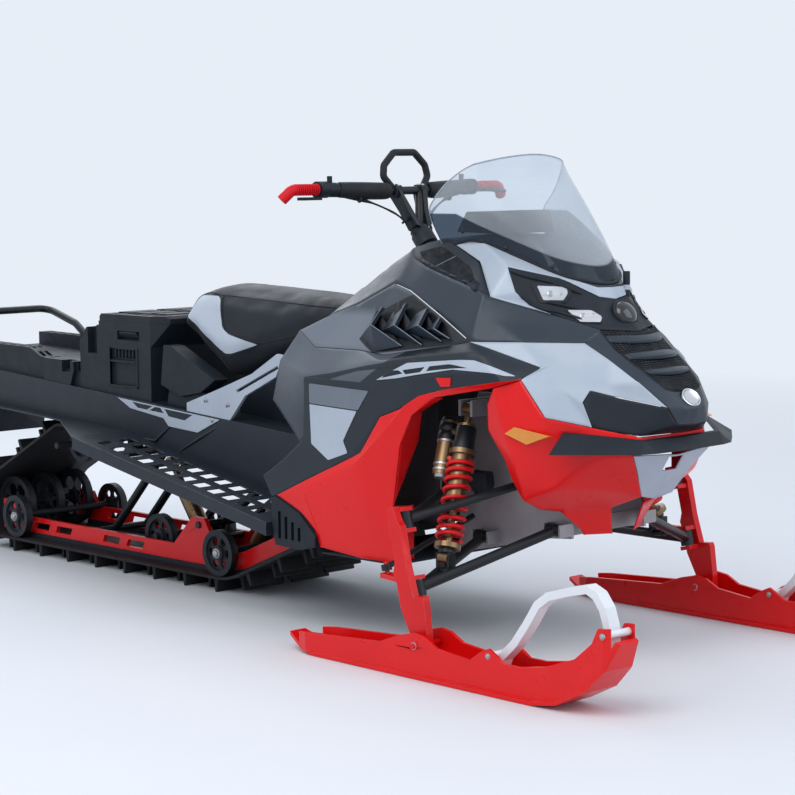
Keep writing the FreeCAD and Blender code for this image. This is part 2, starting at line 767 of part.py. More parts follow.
def shock_spring():
    """Coil spring round the damper."""
    foot, head = SHOCK_FOOT, SHOCK_HEAD
    axis = (head - foot).normalize()
    height = 228.0
    turns = 7.5
    helix = Part.makeHelix((height - 12) / turns, height - 12, 30)
    ring = Part.Wire(Part.makeCircle(5.5, V(30, 0, 0), V(0, 1, 0)))
    coil = Part.Wire(helix).makePipeShell([ring], True, True)
    spring = coil
    turn = FreeCAD.Rotation(V(0, 0, 1), axis)
    spring.Placement = FreeCAD.Placement(foot + axis * 40, turn)
    return spring


# Ski's side view: underside from the tail to the tip, and the rails' top edge
SKI_SOLE = [(SKI_REAR_X, 34.0), (600.0, 8.0), (660.0, 0.0), (1400.0, 0.0), (1480.0, 12.0), (1560.0, 52.0),
            (1618.0, 108.0), (SKI_TIP_X, 172.0)]
SKI_RAIL = [(SKI_REAR_X, 48.0), (640.0, 58.0), (894.0, 72.0), (964.0, 98.0), (1016.0, 110.0),
            (1051.0, 105.0),
            (1091.0, 84.0), (1200.0, 72.0), (1236.0, 96.0), (1262.0, 108.0), (1288.0, 94.0), (1310.0, 80.0),
            (1360.0, 80.0), (1438.0, 92.0), (1529.0, 124.0), (1580.0, 166.0), (1598.0, 202.0),
            (1640.0, 206.0)]
SKI_KEEL = [(700.0, 4.0), (1380.0, 4.0), (1380.0, 34.0), (700.0, 34.0)]
SKI_KEEL_HALF = 12.0
SKI_SADDLE = [(-90.0, 8.0), (90.0, 8.0), (60.0, 48.0), (-60.0, 48.0)]
SKI_PLATE = 10.0
SKI_RAIL_Y = 44.0
SKI_RAIL_WALL = 9.0
SKI_HALF = 60.0
SKI_BOLT = 9.0
LOOP_BOLT = (1262.0, 90.0)
LOOP_FRONT_BOLT = (1612.0, 186.0)


def ski():
    """Moulded ski: sole with an upturned tip, and two tall rails with bosses at the bolts."""
    y = -SKI_STANCE / 2
    top = [(x, z + SKI_PLATE) for x, z in SKI_SOLE[:-3]]
    top += [(1550.0, 60.0), (1606.0, 114.0), (1638.0, 176.0)]
    shapes = [prism(SKI_SOLE + top[::-1], y - SKI_HALF, y + SKI_HALF)]
    wall = SKI_SOLE[:-1] + [(SKI_TIP_X - 3, 166.0)] + SKI_RAIL[::-1]
    for side in (-1, 1):
        middle = y + side * SKI_RAIL_Y
        shapes.append(prism(wall, middle - SKI_RAIL_WALL / 2, middle + SKI_RAIL_WALL / 2))
    keel = prism(SKI_KEEL, y - SKI_KEEL_HALF, y + SKI_KEEL_HALF)
    saddle = prism([(SPINDLE_X + x, z) for x, z in SKI_SADDLE], y - SKI_RAIL_Y, y + SKI_RAIL_Y)
    edge = [(SKI_REAR_X, 26.0), (SKI_REAR_X + 90, 50.0), (1350.0, SKI_HALF), (1560.0, SKI_HALF),
            (1610.0, 50.0), (SKI_TIP_X, 30.0)]
    plan = slab([(x, y + w) for x, w in edge] + [(x, y - w) for x, w in edge[::-1]], -SKI_PLATE, BELLY_Z)
    body = joined(shapes + [keel, saddle]).common(plan)
    bore = rod(V(SPINDLE_X, y - SKI_HALF, SKI_PIVOT_Z), V(SPINDLE_X, y + SKI_HALF, SKI_PIVOT_Z),
               SKI_AXLE_RADIUS + PIN_CLEARANCE)
    return largest(body.cut(bore))


# Middle line of the loop over the ski, from its rear foot to its front foot
LOOP_LINE = [(1262.0, 62.0), (1272.0, 84.0), (1315.0, 124.0), (1352.0, 172.0), (1386.0, 222.0),
             (1420.0, 246.0), (1480.0, 264.0), (1536.0, 277.0), (1562.0, 266.0), (1584.0, 238.0),
             (1597.0, 200.0), (1600.0, 140.0)]
LOOP_STRAP = 20.0
LOOP_HALF_WIDTH = 17.0


def ski_loop():
    """Flat strap handle over the ski's tip, on two bolts through the rails."""
    y = -SKI_STANCE / 2
    strap = band(LOOP_LINE, LOOP_STRAP, y, LOOP_HALF_WIDTH)
    reach = SKI_RAIL_Y - SKI_RAIL_WALL / 2
    for x, z in (LOOP_BOLT, LOOP_FRONT_BOLT):
        strap = strap.fuse(rod(V(x, y - reach, z), V(x, y + reach, z), SKI_BOLT))
    return largest(strap.cut(ski()).removeSplitter())


# Character lines of the body, right side: station x, half width y, height z
SEAM = [(317, -400, 354), (413, -402, 395), (530, -401, 445), (644, -400, 493), (715, -396, 590),
        (784, -392, 615), (850, -386, 653), (925, -380, 670), (1089, -345, 698), (1122, -312, 702)]
BEVEL = [(317, -400, 354), (429, -406, 379), (622, -408, 456), (739, -402, 559), (805, -395, 626),
         (890, -380, 648)]
WELL_ROOF = [(890, -380, 648), (1056, -340, 680)]
CHINE = [(317, -400, 354), (412, -399, 318), (480, -396, 262), (478, -392, 232), (626, -388, BELLY_Z),
         (747, -380, BELLY_Z)]
WELL = [(747, -380, BELLY_Z), (747, -385, 357), (779, -388, 524), (821, -386, 602), (890, -380, 648)]
WELL_LIP = [(735, -300, BELLY_Z), (735, -300, 357), (766, -310, 524), (800, -330, 602), (890, -345, 644)]
HEEL = [(317, -400, 354), (294, -398, 346), (261, -400, 402)]
NOTCH = [(261, -400, 402), (340, -400, 449), (407, -395, 502)]
WAIST = [(407, -395, 502), (411, -388, 671), (563, -392, 671), (705, -392, 674), (835, -388, 695),
         (949, -380, 711), (1068, -350, 721), (1122, -312, 702)]
REAR_EDGE = [(407, -395, 502), (250, -352, 598), (274, -345, 705)]
SHOULDER = [(274, -345, 705), (517, -385, 691), (698, -378, 726), (767, -374, 739), (977, -355, 762),
            (1023, -340, 759), (1143, -262, 728)]
SILL = [(274, -345, 705), (339, -330, 787), (415, -345, 747), (588, -345, 748), (668, -340, 740),
        (919, -332, 777), (959, -320, 786)]
VENT_TOP = [(339, -330, 787), (430, -305, 829), (514, -275, 862), (610, -240, 915), (678, -252, 900),
            (820, -285, 844), (959, -320, 786)]
COWL_SIDE = [(430, -190, 894), (509, -180, 949), (600, -165, 1002), (633, -190, 978), (724, -225, 956),
             (951, -262, 905), (965, -255, 893)]
COWL_TOP = [(430, -190, 894), (509, -180, 949), (600, -165, 1002), (742, -185, 1031)]
WINDOW_LOW = [(633, -190, 978), (724, -225, 956), (951, -262, 905), (965, -255, 893)]
WINDOW_TOP = [(600, -165, 1002), (742, -185, 1031), (882, -205, 975), (965, -255, 893)]
CROWN = [(430, 0, 905), (509, 0, 960), (600, 0, 1013), (742, 0, 1042)]
SCREEN_REST = [(742, -185, 1031), (857, -180, 1032), (960, -145, 987), (1065, -108, 943), (1133, -50, 913),
               (1138, 0, 912)]
SCREEN_CROWN = [(742, 0, 1042), (857, 0, 1036), (960, 0, 998), (1065, 0, 952), (1138, 0, 912)]
BROW = [(965, -255, 893), (1082, -162, 851), (1187, -100, 813)]
BAND = [(959, -320, 786), (1003, -268, 831), (1081, -198, 821), (1191, -104, 806)]
FLARE_TOP = [(959, -320, 786), (1070, -258, 787), (1183, -150, 784), (1245, -130, 745), (1323, -110, 692),
             (1382, -77, 634)]
FLARE_MID = [(959, -320, 786), (1143, -262, 728), (1160, -215, 741), (1263, -150, 687), (1382, -77, 634)]
FLARE_CREASE = [(1143, -262, 728), (1122, -312, 702), (1198, -248, 678), (1243, -198, 675),
                (1286, -140, 656), (1382, -77, 634)]
FLARE_LOW = [(1122, -312, 702), (1190, -300, 614), (1258, -208, 588), (1240, -222, 648), (1243, -198, 675)]
LAMP_EDGE = [(857, -180, 1032), (979, -205, 965), (1012, -212, 904), (1038, -190, 872), (1082, -162, 851)]
LAMP_TOP = [(979, -205, 965), (1074, -120, 937), (1142, -50, 889), (1152, 0, 882)]
GRILLE_TOP = [(1187, -100, 813), (1228, 0, 806)]
GRILLE_EDGE = [(1187, -100, 813), (1235, -96, 767), (1306, -84, 721), (1367, -62, 675)]
CHIN_TOP = [(1367, -62, 675), (1371, 0, 668)]
CHIN_FRONT = [(1382, -77, 634), (1408, -32, 630), (1412, 0, 630)]
CHIN_LOW = [(1382, -77, 634), (1395, -55, 592), (1398, 0, 588)]
NOSE_TOP = [(1056, -340, 680), (1122, -312, 702), (1190, -300, 614), (1258, -208, 588), (1331, -120, 564),
            (1345, 0, 564)]
NOSE_MID = [(1056, -340, 680), (1077, -338, 604), (1108, -330, 521), (1177, -290, 522), (1275, -200, 521),
            (1333, -145, 519), (1350, 0, 519)]
NOSE_CREASE = [(1108, -330, 521), (1118, -312, 450), (1188, -265, 437), (1247, -125, 428), (1306, -97, 464),
               (1333, -145, 519)]
NOSE_LOW = [(1118, -312, 450), (1113, -295, 405), (1120, -245, 379), (1131, -185, 369), (1190, -60, 371),
            (1284, -57, 407), (1306, -97, 464)]
NOSE_FOOT = [(1131, -185, 369), (1138, -118, 318), (1140, -110, 303), (1175, -40, 302), (1190, -60, 371)]
NOSE_REAR = [(1056, -340, 680), (1077, -338, 604), (1108, -330, 521), (1118, -312, 450), (1113, -295, 405)]
NOSE_LIP = [(1026, -330, 639), (1023, -325, 575), (1071, -315, 504), (1079, -300, 455), (1091, -285, 418)]
KEEL_EDGE = [(1333, -145, 519), (1306, -97, 464), (1284, -57, 407)]
KEEL_LINE = [(1352, 0, 512), (1277, 0, 395)]
BUMPER_TOP = [(1218, -268, 578), (1364, -140, 558), (1372, 0, 558)]
BUMPER_LOW = [(1242, -345, 533), (1319, -250, 530), (1378, -172, 528), (1392, -125, 528), (1398, 0, 528)]


def into_belly(point, wall):
    """The point moved up and back through the well's wall."""
    return point + V(-1.0, 0.0, 1.0).normalize() * wall


def belly_pan():
    """Side of the belly, with its bevel, the well's rear wall and the roof over the well."""
    lower = CHINE + WELL[1:]
    side = panel([
        (SEAM[:-3], BEVEL),
        (SEAM[-4:], WELL_ROOF),
        (BEVEL, lower),
    ])
    well = panel([(WELL, WELL_LIP)], WALL, into_belly)
    return pair(joined([side, well]))


TOE_FRONT = [(317, 350), (408, 314), (472, 260), (470, 236), (407, 217), (312, 221), (298, 282), (298, 346)]
TOE_SLOT = 11.0
TOE_SLOT_PITCH = 26.0


def toe_guards():
    """Ribbed guards that close the footwells in front of the running boards."""
    guard = prism(TOE_FRONT, -BOARD_OUTER_Y + 16, -TUNNEL_HALF - 40)
    slots = []
    for k in range(4):
        x = 325 + TOE_SLOT_PITCH * k
        slots.append(block(x, x + TOE_SLOT, -BOARD_OUTER_Y, -BOARD_OUTER_Y + 30, 240, 312 - 12 * k))
    return pair(largest(guard.cut(Part.Compound(slots)).cut(belly_pan())))


def belly_floor():
    """Plate under the engine bay."""
    return slab([(480, -389), (752, -381), (752, 381), (480, 389)], BELLY_Z - WALL, BELLY_Z)


def side_panels():
    """Large side panels over the engine bay."""
    return pair(panel([
        (HEEL, HEEL[:1] + NOTCH[:1]),
        (SEAM, NOTCH + WAIST[1:]),
        (WAIST, REAR_EDGE + SHOULDER[1:]),
        (SHOULDER, SILL + SHOULDER[-1:]),
    ]))


# Louvre fins, from the rear: root, tip, ridge and front end
FINS = [
    [(575, -312, 782), (595, -298, 862), (643, -326, 803), (724, -328, 767)],
    [(652, -312, 788), (681, -296, 874), (732, -325, 807), (807, -326, 773)],
    [(738, -312, 792), (772, -290, 858), (818, -322, 811), (868, -324, 781)],
    [(812, -312, 790), (838, -296, 826), (868, -316, 800), (912, -318, 780)],
]


def vents():
    """Louvred panel between the side panel and the cowl."""
    tray = panel([(SILL[1:], VENT_TOP)])
    fins = []
    for corners in FINS:
        root, tip, ridge, end = [V(*c) for c in corners]
        facets = [(root, tip, ridge), (root, ridge, end), (tip, end, ridge), (root, end, tip)]
        fins.append(polyhedron(facets))
    right = joined([tray] + fins).cut(hood()).cut(side_panels())
    return pair(largest(right))


def mesh_windows():
    """Mesh panels on both sides of the cowl."""
    return pair(panel([(WINDOW_TOP, WINDOW_LOW)]))


BUSH_RADIUS = 22.0
BUSH_START = 30.0
BUSH_END = 160.0


def hood():
    """Cowl from vent to vent, with the band over the flares and the grille's frame."""
    shell = across([
        (VENT_TOP[1:], COWL_SIDE),
        (COWL_TOP, CROWN),
        (SCREEN_REST, SCREEN_CROWN),
        (BROW, BAND),
        (BAND, FLARE_TOP[:3]),
        (BAND[-1:] + FLARE_TOP[2:], GRILLE_EDGE),
        (FLARE_TOP[-1:] + CHIN_FRONT[1:], CHIN_TOP),
        (CHIN_FRONT, CHIN_LOW),
    ])
    bush = rod(POST_HEAD - STEER_AXIS * BUSH_START, POST_HEAD - STEER_AXIS * BUSH_END, BUSH_RADIUS)
    bore = rod(POST_HEAD, POST_FOOT, POST_RADIUS + RUNNING_GAP)
    return largest(shell.fuse(bush).cut(bore).removeSplitter())


# Grille's centre line, from the lamps down to the chin
GRILLE_LINE = [(1228, 0, 806), (1262, 0, 770), (1318, 0, 722), (1371, 0, 668)]
# Section (x, z) of a cross bar, from its point on the centre line
GRILLE_BAR = [(-22, 14), (18, -4), (6, -26), (-20, -12)]


def grille():
    """Dark back of the grille with its cross bars."""
    shapes = [across([(GRILLE_EDGE, GRILLE_LINE)])]
    for side, middle in zip(GRILLE_EDGE[1:3], GRILLE_LINE[1:3]):
        half = side[1] + 14
        outline = [(middle[0] + x, middle[2] + z) for x, z in GRILLE_BAR]
        shapes.append(prism(outline, half, -half))
    return joined(shapes)


def flares():
    """Silver flares between the side panels and the nose."""
    return pair(panel([
        (FLARE_TOP, FLARE_MID),
        (FLARE_MID[1:], FLARE_CREASE),
        (FLARE_CREASE[1:4], FLARE_LOW),
    ]))


def lower_intake():
    """Dark intake between the flares, the chin and the nose."""
    upper = FLARE_LOW[3:] + FLARE_CREASE[4:] + CHIN_LOW[1:]
    lower = FLARE_LOW[3:4] + FLARE_LOW[2:3] + NOSE_TOP[4:]
    return across([(upper, lower)])


def nose():
    """Front shell between the wells."""
    return across([
        (NOSE_TOP, NOSE_MID),
        (NOSE_MID[2:6], NOSE_CREASE),
        (NOSE_CREASE[1:5], NOSE_LOW),
        (NOSE_LOW[3:5], NOSE_FOOT),
        (NOSE_REAR, NOSE_LIP),
    ])


def keel_plate():
    """Light guard under the bumper, with its tow slot."""
    return across([(KEEL_EDGE, KEEL_LINE)]).cut(block(1200, 1400, -26, 26, 472, 508))


def lamp_bezel():
    """Silver bezel round the headlamps."""
    return across([
        (WINDOW_TOP[1:] + BROW[1:2], SCREEN_REST[:1] + LAMP_EDGE),
        (SCREEN_REST[1:], LAMP_EDGE[:1] + LAMP_TOP),
    ])


def lamp_housing():
    """Dark housing of the headlamps."""
    return across([(LAMP_TOP, LAMP_EDGE[1:] + GRILLE_TOP)])


def front_bumper():
    """Faceted bumper wrapped round the nose."""
    shell = across([(BUMPER_TOP, BUMPER_LOW)], BUMPER_WALL)
    brackets = block(1325, 1372, -90, -60, 536, 550)
    return largest(joined([shell, brackets, mirrored(brackets)]).cut(nose()))


# Lines of the screen from its foot upwards, and its rear edge
SCREEN_MIDDLE = [(850, 0, 1188), (823, -157, 1182)]
SCREEN_TOP = [(868, 0, 1236), (862, -45, 1236), (830, -150, 1220)]
SCREEN_FOLD = [(960, -145, 987), (823, -157, 1182), (830, -150, 1220)]
SCREEN_REAR = [(857, -180, 1032), (742, -205, 1050), (736, -235, 1098), (800, -205, 1183),
               (830, -150, 1220)]


def windshield():
    """Clear screen, raked back over the hood."""
    foot = SCREEN_REST[:1:-1]
    screen = across([
        (foot, SCREEN_MIDDLE),
        (SCREEN_MIDDLE, SCREEN_TOP),
        (SCREEN_FOLD, SCREEN_REAR),
    ], SCREEN_WALL)
    return largest(screen.cut(hood()).cut(lamp_bezel()))


def console():
    """Instrument pod behind the screen."""
    return prism([(700, 1044), (850, 1040), (835, 1098), (735, 1096)], -105, 105)


BULKHEAD_SIDE = [(740, BELLY_Z), (860, 245), (1040, 288), (1129, 296), (1129, 345), (1074, 470), (960, 640),
                 (810, 640), (740, 430)]


def bulkhead():
    """Front frame that carries the arms and dampers."""
    side = BULKHEAD_HALF
    plate = prism(BULKHEAD_SIDE, -side, -side + 8)
    right = [plate]
    for point in LOWER_INNER + UPPER_INNER:
        for sign in (-1, 1):
            x0 = point.x + sign * (BARREL_HALF + RUNNING_GAP)
            x1 = x0 + sign * 6
            low = point.y - BARREL_RADIUS
            high = max(-side + 4, point.y + BARREL_RADIUS)
            right.append(block(min(x0, x1), max(x0, x1), low, high, point.z - BARREL_RADIUS,
                               point.z + BARREL_RADIUS))
    for sign in (-1, 1):
        x0 = SHOCK_HEAD.x + sign * (SHOCK_EYE_HALF + RUNNING_GAP)
        x1 = x0 + sign * 8
        right.append(block(min(x0, x1), max(x0, x1), SHOCK_HEAD.y - 16, -side + 4,
                           SHOCK_HEAD.z - 20, SHOCK_HEAD.z + 20))
    shapes = right + [mirrored(shape) for shape in right]
    shapes.append(block(1104, 1112, -side, side, 300, 340))
    shapes.append(block(820, 950, -side, side, 560, 572))
    return joined(shapes)


def engine():
    """Engine as one plain block at its place."""
    return block(TUNNEL_FRONT_X + 0.3, 739.7, -220, 220, 300, 660)


# Saddle's lines, right side: crest, shoulder, widest line and foot
SEAT_CREST = [(-366, 0, 858), (-299, 0, 876), (-100, 0, 870), (100, 0, 862), (270, 0, 850), (330, 0, 800)]
SEAT_SHOULDER = [(-372, -118, 850), (-299, -122, 866), (-100, -116, 856), (100, -106, 846), (270, -92, 836),
                 (326, -80, 792)]
SEAT_SIDE = [(-401, -160, 768), (-300, -168, 742), (-190, -168, 700), (-60, -162, 706), (100, -140, 738),
             (290, -104, 770)]
SEAT_FOOT = [(-392, -140, 748), (-292, -140, 668), (-194, -140, 606), (-60, -134, 654), (148, -112, 728),
             (282, -88, 762)]
SEAT_UNDER = [(x, 0, z) for x, y, z in SEAT_FOOT]


def seat():
    """Long saddle with a crowned top and a dropped skirt."""
    return hull([SEAT_CREST, SEAT_SHOULDER, SEAT_SIDE, SEAT_FOOT, SEAT_UNDER])


BOX_HALF = 205.0
BOX_TOP_Z = 760.0
BOX_REAR_X = -727.0
BOX_FRONT_X = -430.0
LID_TOP_Z = 782.0
HINGE_X = -734.0
HINGE_Z = 771.0
HINGE_PIN = 5.0
HINGE_BARREL = 9.0
HINGE_HALF = 140.0
RECESS_DEPTH = 10.0
LATCH_DEPTH = 16.0
NOTCH_DEPTH = 24.0


def box_corner(z0, z1):
    """Cut-off front corner of the box, in plan."""
    corner = [(-476, -BOX_HALF - 1), (BOX_FRONT_X + 1, -BOX_HALF + 42), (BOX_FRONT_X + 1, -BOX_HALF - 1)]
    return slab(corner, z0, z1)


def storage_box():
    """Box behind the saddle, with the lid's hinge pin between two ears."""
    outline = [(-823, tunnel_top(-823)), (-474, tunnel_top(-474)), (-474, 690), (BOX_FRONT_X, BOX_TOP_Z),
               (BOX_REAR_X, BOX_TOP_Z), (BOX_REAR_X, 748), (-790, 738), (-826, 694)]
    body = prism(outline, -BOX_HALF, BOX_HALF)
    cuts = [box_corner(600, 800),
            block(-672, -541, -BOX_HALF - 1, -BOX_HALF + RECESS_DEPTH, 572, 680),
            block(-635, -527, -BOX_HALF - 1, -BOX_HALF + LATCH_DEPTH, 707, 734),
            block(-784, -738, -BOX_HALF - 1, -BOX_HALF + NOTCH_DEPTH, 660, 750)]
    body = body.cut(cuts).cut([mirrored(cut) for cut in cuts])
    shapes = [body]
    for y in (-HINGE_HALF, HINGE_HALF):
        shapes.append(block(HINGE_X - 7, BOX_REAR_X, y - 4, y + 4, BOX_TOP_Z - 26, HINGE_Z + 7))
    shapes.append(rod(V(HINGE_X, -HINGE_HALF, HINGE_Z), V(HINGE_X, HINGE_HALF, HINGE_Z), HINGE_PIN))
    return joined(shapes)


LID_SLOTS = 5
LID_SLOT_PITCH = 48.0


def storage_lid():
    """Hinged lid of the box, with two rows of grooves."""
    front = BOX_REAR_X + 5
    outline = [(front, BOX_TOP_Z + 0.5), (BOX_FRONT_X, BOX_TOP_Z + 0.5), (BOX_FRONT_X, LID_TOP_Z - 8),
               (BOX_FRONT_X - 12, LID_TOP_Z), (front + 8, LID_TOP_Z), (front, LID_TOP_Z - 8)]
    plate = prism(outline, -BOX_HALF, BOX_HALF)
    cuts = [box_corner(700, 800)]
    for k in range(LID_SLOTS):
        x = front + 30 + LID_SLOT_PITCH * k
        cuts.append(block(x, x + 26, -BOX_HALF + 22, -BOX_HALF + 88, LID_TOP_Z - 6, LID_TOP_Z + 1))
    plate = plate.cut(cuts).cut([mirrored(cut) for cut in cuts])
    shapes = [plate]
    bores = []
    for y in (-HINGE_HALF / 2, HINGE_HALF / 2):
        ends = (V(HINGE_X, y - 32, HINGE_Z), V(HINGE_X, y + 32, HINGE_Z))
        shapes.append(rod(ends[0], ends[1], HINGE_BARREL))
        shapes.append(block(HINGE_X, front + 1, y - 32, y + 32, HINGE_Z - 4, HINGE_Z + 4))
        bores.append(rod(ends[0], ends[1], HINGE_PIN + PIN_CLEARANCE))
    return joined(shapes).cut(Part.Compound(bores))


STRUT_OUT = -216.0
STRUT_IN = -206.0


def seat_struts():
    """Seat support beams on both sides, with a slot and two bolt holes."""
    outline = [(-293, tunnel_top(-293) + RUNNING_GAP), (-99, tunnel_top(-99) + RUNNING_GAP),
               (-60, 548), (-31, 579), (103, 640),
               (140, 700), (110, 704), (1, 643), (-155, 588), (-293, 542)]
    slot = [(-70, 593), (112, 672), (116, 664), (-62, 586)]
    strut = prism(outline, STRUT_OUT, STRUT_IN).cut(prism(slot, STRUT_OUT - 1, STRUT_IN + 1))
    for x, z in ((-210, 552), (-112, 545)):
        strut = strut.cut(rod(V(x, STRUT_OUT - 1, z), V(x, STRUT_IN + 1, z), 5))
    return pair(strut)


TRIM_OUTLINE = [(-619, 536), (-556, 508), (-398, 490), (-375, 468), (-240, 460), (-139, 504)]
TRIM_SLOTS = [
    [(-548, 528), (-450, 521), (-478, 509), (-522, 512)],
    [(-436, 520), (-412, 519), (-396, 504), (-464, 508)],
    [(-394, 517), (-262, 509), (-300, 490), (-376, 497)],
]


def tunnel_trims():
    """Thin plates on the tunnel's sides, with three windows each."""
    plate = prism(TRIM_OUTLINE, -TUNNEL_HALF - 3, -TUNNEL_HALF)
    for corners in TRIM_SLOTS:
        plate = plate.cut(prism(corners, -TUNNEL_HALF - 4, -TUNNEL_HALF + 1))
    return pair(plate)


def seat_base():
    """Frame under the saddle."""
    top = [(x, z - 0.3) for x, y, z in SEAT_FOOT[4:1:-1]]
    return prism([(-194, tunnel_top(-194)), (260, tunnel_top(260)), (260, 755)] + top, -100, 100)


POD_OUTLINE = [(-429, 584), (-413, 702), (-380, 700), (-178, 612), (-245, 572), (-338, 555)]
POD_OUTER_Y = -204.0
POD_INNER_Y = -150.0


def side_pods():
    """Faceted pods in front of the box, on feet on the tunnel."""
    shell = prism(POD_OUTLINE, POD_OUTER_Y, POD_INNER_Y)
    foot = [(-420, tunnel_top(-420)), (-230, tunnel_top(-230)), (-245, 590), (-405, 590)]
    return pair(joined([shell, prism(foot, POD_OUTER_Y + 14, POD_INNER_Y)]))


DECK_HALF = 200.0
DECK_REAR_X = -1560.0
DECK_FRONT_X = -830.0
DECK_RAIL_WIDTH = 48.0
DECK_BLOCK_WIDTH = 14.0
DECK_SLOTS = 11
DECK_SLOT_PITCH = 52.0
DECK_SLOT_ROWS = [-190.0, -168.0]
DECK_SLOT_LENGTH = 30.0
DECK_SLOT_WIDTH = 13.0


def cargo_deck():
    """Rear deck with anchor holes, between slotted side rails with an anchor block in front."""
    deck = prism([(DECK_REAR_X, tunnel_top(DECK_REAR_X)), (DECK_FRONT_X, tunnel_top(DECK_FRONT_X)),
                  (DECK_FRONT_X, 600), (DECK_REAR_X, 628)], -DECK_HALF, DECK_HALF)
    rail = prism([(DECK_REAR_X, 620), (DECK_REAR_X, DECK_TOP_Z), (-1100, 660), (-1040, 634), (-844, 630),
                  (-844, 590)], -DECK_HALF, -DECK_HALF + DECK_RAIL_WIDTH)
    side = [(-1006, tunnel_top(-1006)), (-868, tunnel_top(-868)), (-850, 600), (-850, 630), (-1006, 634)]
    anchor = prism(side, -DECK_HALF - DECK_BLOCK_WIDTH, -DECK_HALF)
    cuts = [block(-910, -866, -DECK_HALF - DECK_BLOCK_WIDTH - 1, -DECK_HALF + 20, 596, 640)]
    for k in range(DECK_SLOTS):
        x = DECK_REAR_X + 20 + DECK_SLOT_PITCH * k
        for y in DECK_SLOT_ROWS:
            cuts.append(block(x, x + DECK_SLOT_LENGTH, y, y + DECK_SLOT_WIDTH, 618, DECK_TOP_Z + 12))
    right = rail.fuse(anchor).cut(cuts)
    shape = deck.fuse([right, mirrored(right)])
    return shape.cut(anchor_bores(ANCHOR_RADIUS)).removeSplitter()


HOOP_LINE = [(-1300, -176, 650), (-1390, -182, 702), (-1560, -190, 745)]
HOOP_RADIUS = 12.0
HOOP_BEND = 40.0


def rear_hoop():
    """Grab bar across the rear."""
    right = [V(*c) for c in HOOP_LINE]
    left = [V(p.x, -p.y, p.z) for p in right]
    return largest(pipe(right + left[::-1], HOOP_RADIUS, HOOP_BEND).cut(cargo_deck()))


FLAP_TOP_Z = 598.0
FLAP_FOOT_Z = 330.0
FLAP_THICKNESS = 6.0


def snow_flap():
    """Flap behind the track."""
    top_x = TUNNEL_REAR_X - RUNNING_GAP
    outline = [(top_x, FLAP_TOP_Z), (top_x - FLAP_THICKNESS, FLAP_TOP_Z), (REAR_END_X, FLAP_FOOT_Z),
               (REAR_END_X + FLAP_THICKNESS, FLAP_FOOT_Z)]
    return prism(outline, -TUNNEL_HALF, TUNNEL_HALF)


def tail_lamp():
    """Rear lamp under the deck's edge."""
    return block(-1585, -1560.5, -90, 90, 606, 626)


# Steering
STEER_AXIS = (POST_HEAD - POST_FOOT).normalize()
POST_RADIUS = 12.0
BAR_RADIUS = 11.0
BAR_END = V(378.0, -383.0, 1155.0)
BAR_HOOK = V(364.0, -407.0, 1129.0)
BAR_BEND = V(366.0, -255.0, 1154.0)
BAR_INNER = V(412.0, -110.0, 1148.0)
GRIP_START_Y = -292.0
GRIP_RADIUS = 14.5
STRAP_RADIUS = 9.5
RISER_Y = 42.0
RISER_RADIUS = 12.0
CONTROL_RADIUS = 22.0
SLEEVE_RADIUS = 17.0


def opposite(points):
    """The same points on the other side of the centre plane."""
    return [V(p.x, -p.y, p.z) for p in points]


def bar_at(y):
    """Point on the right-hand bar at a distance from the centre plane."""
    near, far = (BAR_BEND, BAR_END) if y < BAR_BEND.y else (BAR_INNER, BAR_BEND)
    return near + (far - near) * ((y - near.y) / (far.y - near.y))


def handlebar():
    """Post, forked riser and bar."""
    post = rod(POST_FOOT, POST_HEAD, POST_RADIUS)
    yoke = rod(POST_HEAD - STEER_AXIS * 5, POST_HEAD + STEER_AXIS * 20, 19)
    legs = [rod(POST_HEAD, V(BAR_INNER.x, y, BAR_INNER.z), RISER_RADIUS) for y in (-RISER_Y, RISER_Y)]
    right = [BAR_END, BAR_BEND, BAR_INNER]
    bar = pipe(right + opposite(right)[::-1], BAR_RADIUS, 50)
    return joined([post, yoke, bar] + legs)


def grips():
    """Grips with hooked ends."""
    return pair(largest(pipe([bar_at(GRIP_START_Y), BAR_END, BAR_HOOK], GRIP_RADIUS, 18).cut(handlebar())))


def bar_controls():
    """Switch housings, sleeves, levers and buttons on both sides of the bar."""
    start = bar_at(GRIP_START_Y + 1)
    middle = bar_at(BAR_BEND.y)
    inner = bar_at(-118.0)
    housing = rod(start, middle, CONTROL_RADIUS)
    along = inner - middle
    sleeve = Part.makeCone(CONTROL_RADIUS - 2, SLEEVE_RADIUS, along.Length, middle, along)
    button = rod(bar_at(-245.0), bar_at(-245.0) + V(0, 0, 36), 7)
    throttle = block(start.x - 8, start.x + 14, -352, -284, start.z - 27, start.z - 19)
    brake = pipe([V(start.x + 16, -276, start.z - 4), V(start.x + 40, -300, start.z - 8),
                  V(start.x + 34, -384, start.z - 14)], 5, 14)
    right = joined([housing, sleeve, button, throttle])
    left = mirrored(joined([housing, sleeve, button, brake]))
    bar = handlebar()
    return Part.Compound([largest(right.cut(bar)), largest(left.cut(bar))])


def grab_strap():
    """Six-sided loop over the middle of the bar."""
    right = [V(BAR_INNER.x, -50, BAR_INNER.z), V(402, -82, 1186), V(398, -76, 1216), V(396, -38, 1250)]
    strap = pipe(right + opposite(right)[::-1], STRAP_RADIUS, 16)
    return largest(strap.cut(handlebar()))


# Headlamp lenses, right side: the two near the bezel, then the small one at the middle
LENSES = [
    [(1052, -165, 916), (1089, -130, 916), (1089, -130, 886), (1060, -160, 886)],
    [(1111, -125, 855), (1157, -85, 855), (1167, -85, 830), (1138, -118, 831)],
]
LENS_OUT = (0.72, -0.55, 0.42)
LENS_DEPTH = 26.0


